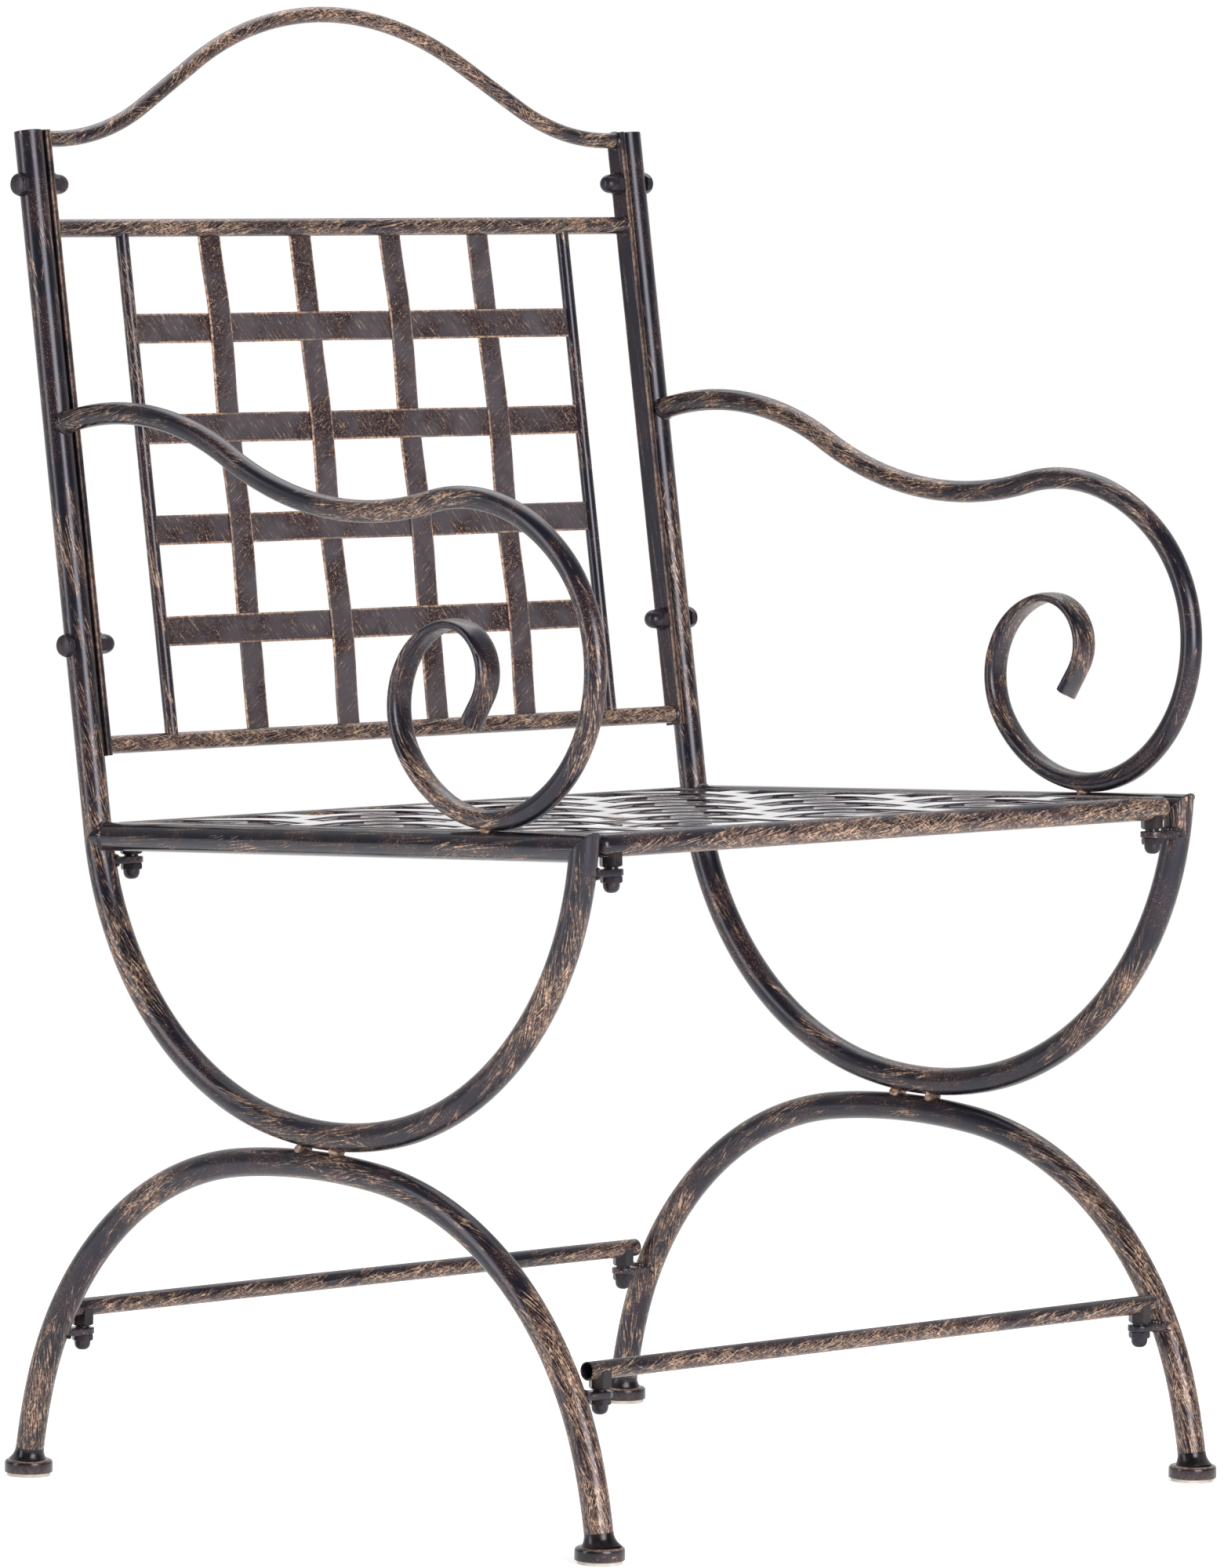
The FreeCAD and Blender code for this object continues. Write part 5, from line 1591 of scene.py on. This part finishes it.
# %% [markdown]
# Smaller welds close the other joints: a bead round the mitred front corner, skirts where the arm and
# the rail meet the post and where the back's tubes meet the stiles, and beads where a lug meets its
# tube. Without them two tubes would just cross, and the eye sees that at once.

# %% Joint welds
corner_bead, corner_points, seed_step = 0.0006, 180, 1.3
small_flare, small_height, stile_weld_height, small_least, weld_sink = 0.0016, 0.0030, 0.0024, 0.3, 0.93
lug_bead, lug_bead_lift, lug_bead_reach, lug_bead_rows = 0.0015, 0.0004, 62, 60


def corner_weld(x):
    """Bead along the mitre: the ring of the rail's end, with more points, a little below the skin."""
    frames = in_side_plane(rail_line(), x)
    corner = frames[0][0]
    ring = eased_corner(frames, x, -1)[0]
    share = np.arange(corner_points) / corner_points * ring_count
    stations = np.arange(ring_count + 1)
    ring = np.column_stack([np.interp(share, stations, np.append(c, c[0])) for c in ring.T])
    away = (ring - corner) / np.linalg.norm(ring - corner, axis=1)[:, None]
    return bead(ring - away * corner_bead / 3, away, corner_bead, loop=True)


def post_welds(x, seed):
    """Skirts of the rail and the arm, each starting just inside the post's surface."""
    made = []
    for line, radius in ((rail_line(), tube_radius), (arm_line(), arm_radius)):
        centres, ahead, _ = in_side_plane(line[-1:], x)
        inset = weld_sink * tube_radius / abs(np.dot(ahead[0], panel_front))
        spot = centres[0] - inset * ahead[0]
        made.append(fillet(spot, -ahead[0], radius, small_flare, small_height, seed, small_least))
        seed += seed_step
    return made


def stile_welds(sign):
    """Skirts at one stile for the crest and the two rails."""
    inward = -sign * x_axis
    made = []
    for station, radius in ((crest_end_station, crest_radius), (top_station, back_rail_radius),
                            (bottom_station, back_rail_radius)):
        spot = panel_origin + station * panel_up + sign * stile_inner_x * x_axis
        seed = station * 50 + sign
        made.append(fillet(spot, inward, radius, small_flare, stile_weld_height, seed, small_least))
    return made


def slope_near(spot):
    """Sine of the bowl's or the arch's heading where it passes a spot."""
    line = np.vstack([bowl_line(), arch_line()])
    nearest = np.argmin(np.hypot(line[:, 0] - spot[1], line[:, 1] - spot[2]))
    return abs(math.sin(line[nearest, 2]))


def lug_welds(x, spot, up, ahead, rail_radius):
    """Two beads where the plate meets the tube, above and below it, each a third of the way round. A
    cut across a leaning tube is longer by one over the sine of its heading."""
    inward = -math.copysign(1, x) * x_axis
    top = -(rail_radius + stud_head_height + collar_height)
    tube_axis = spot - (frame_x - rod_x) * inward
    angle = np.radians(np.linspace(-lug_bead_reach, lug_bead_reach, lug_bead_rows))[:, None]
    around = np.cos(angle) * inward + np.sin(angle) / slope_near(tube_axis + top * up) * ahead
    return [bead(tube_axis + around * (tube_radius + lug_bead_lift) + height * up, around, lug_bead)
            for height in (top + lug_bead_lift, top - lug_thickness - lug_bead_lift)]


for side, sign in sides.items():
    x = side_places[side]
    build(side + "_corner_weld", [corner_weld(x)], fitting_paint)
    build(side + "_post_welds", post_welds(x, sign), fitting_paint)
    build(side + "_stile_welds", stile_welds(sign), fitting_paint)
    beads = [b for radius, places in hung.values() for place in places if place[0] * x > 0
             for b in lug_welds(*place, radius)]
    build(side + "_lug_welds", beads, fitting_paint)
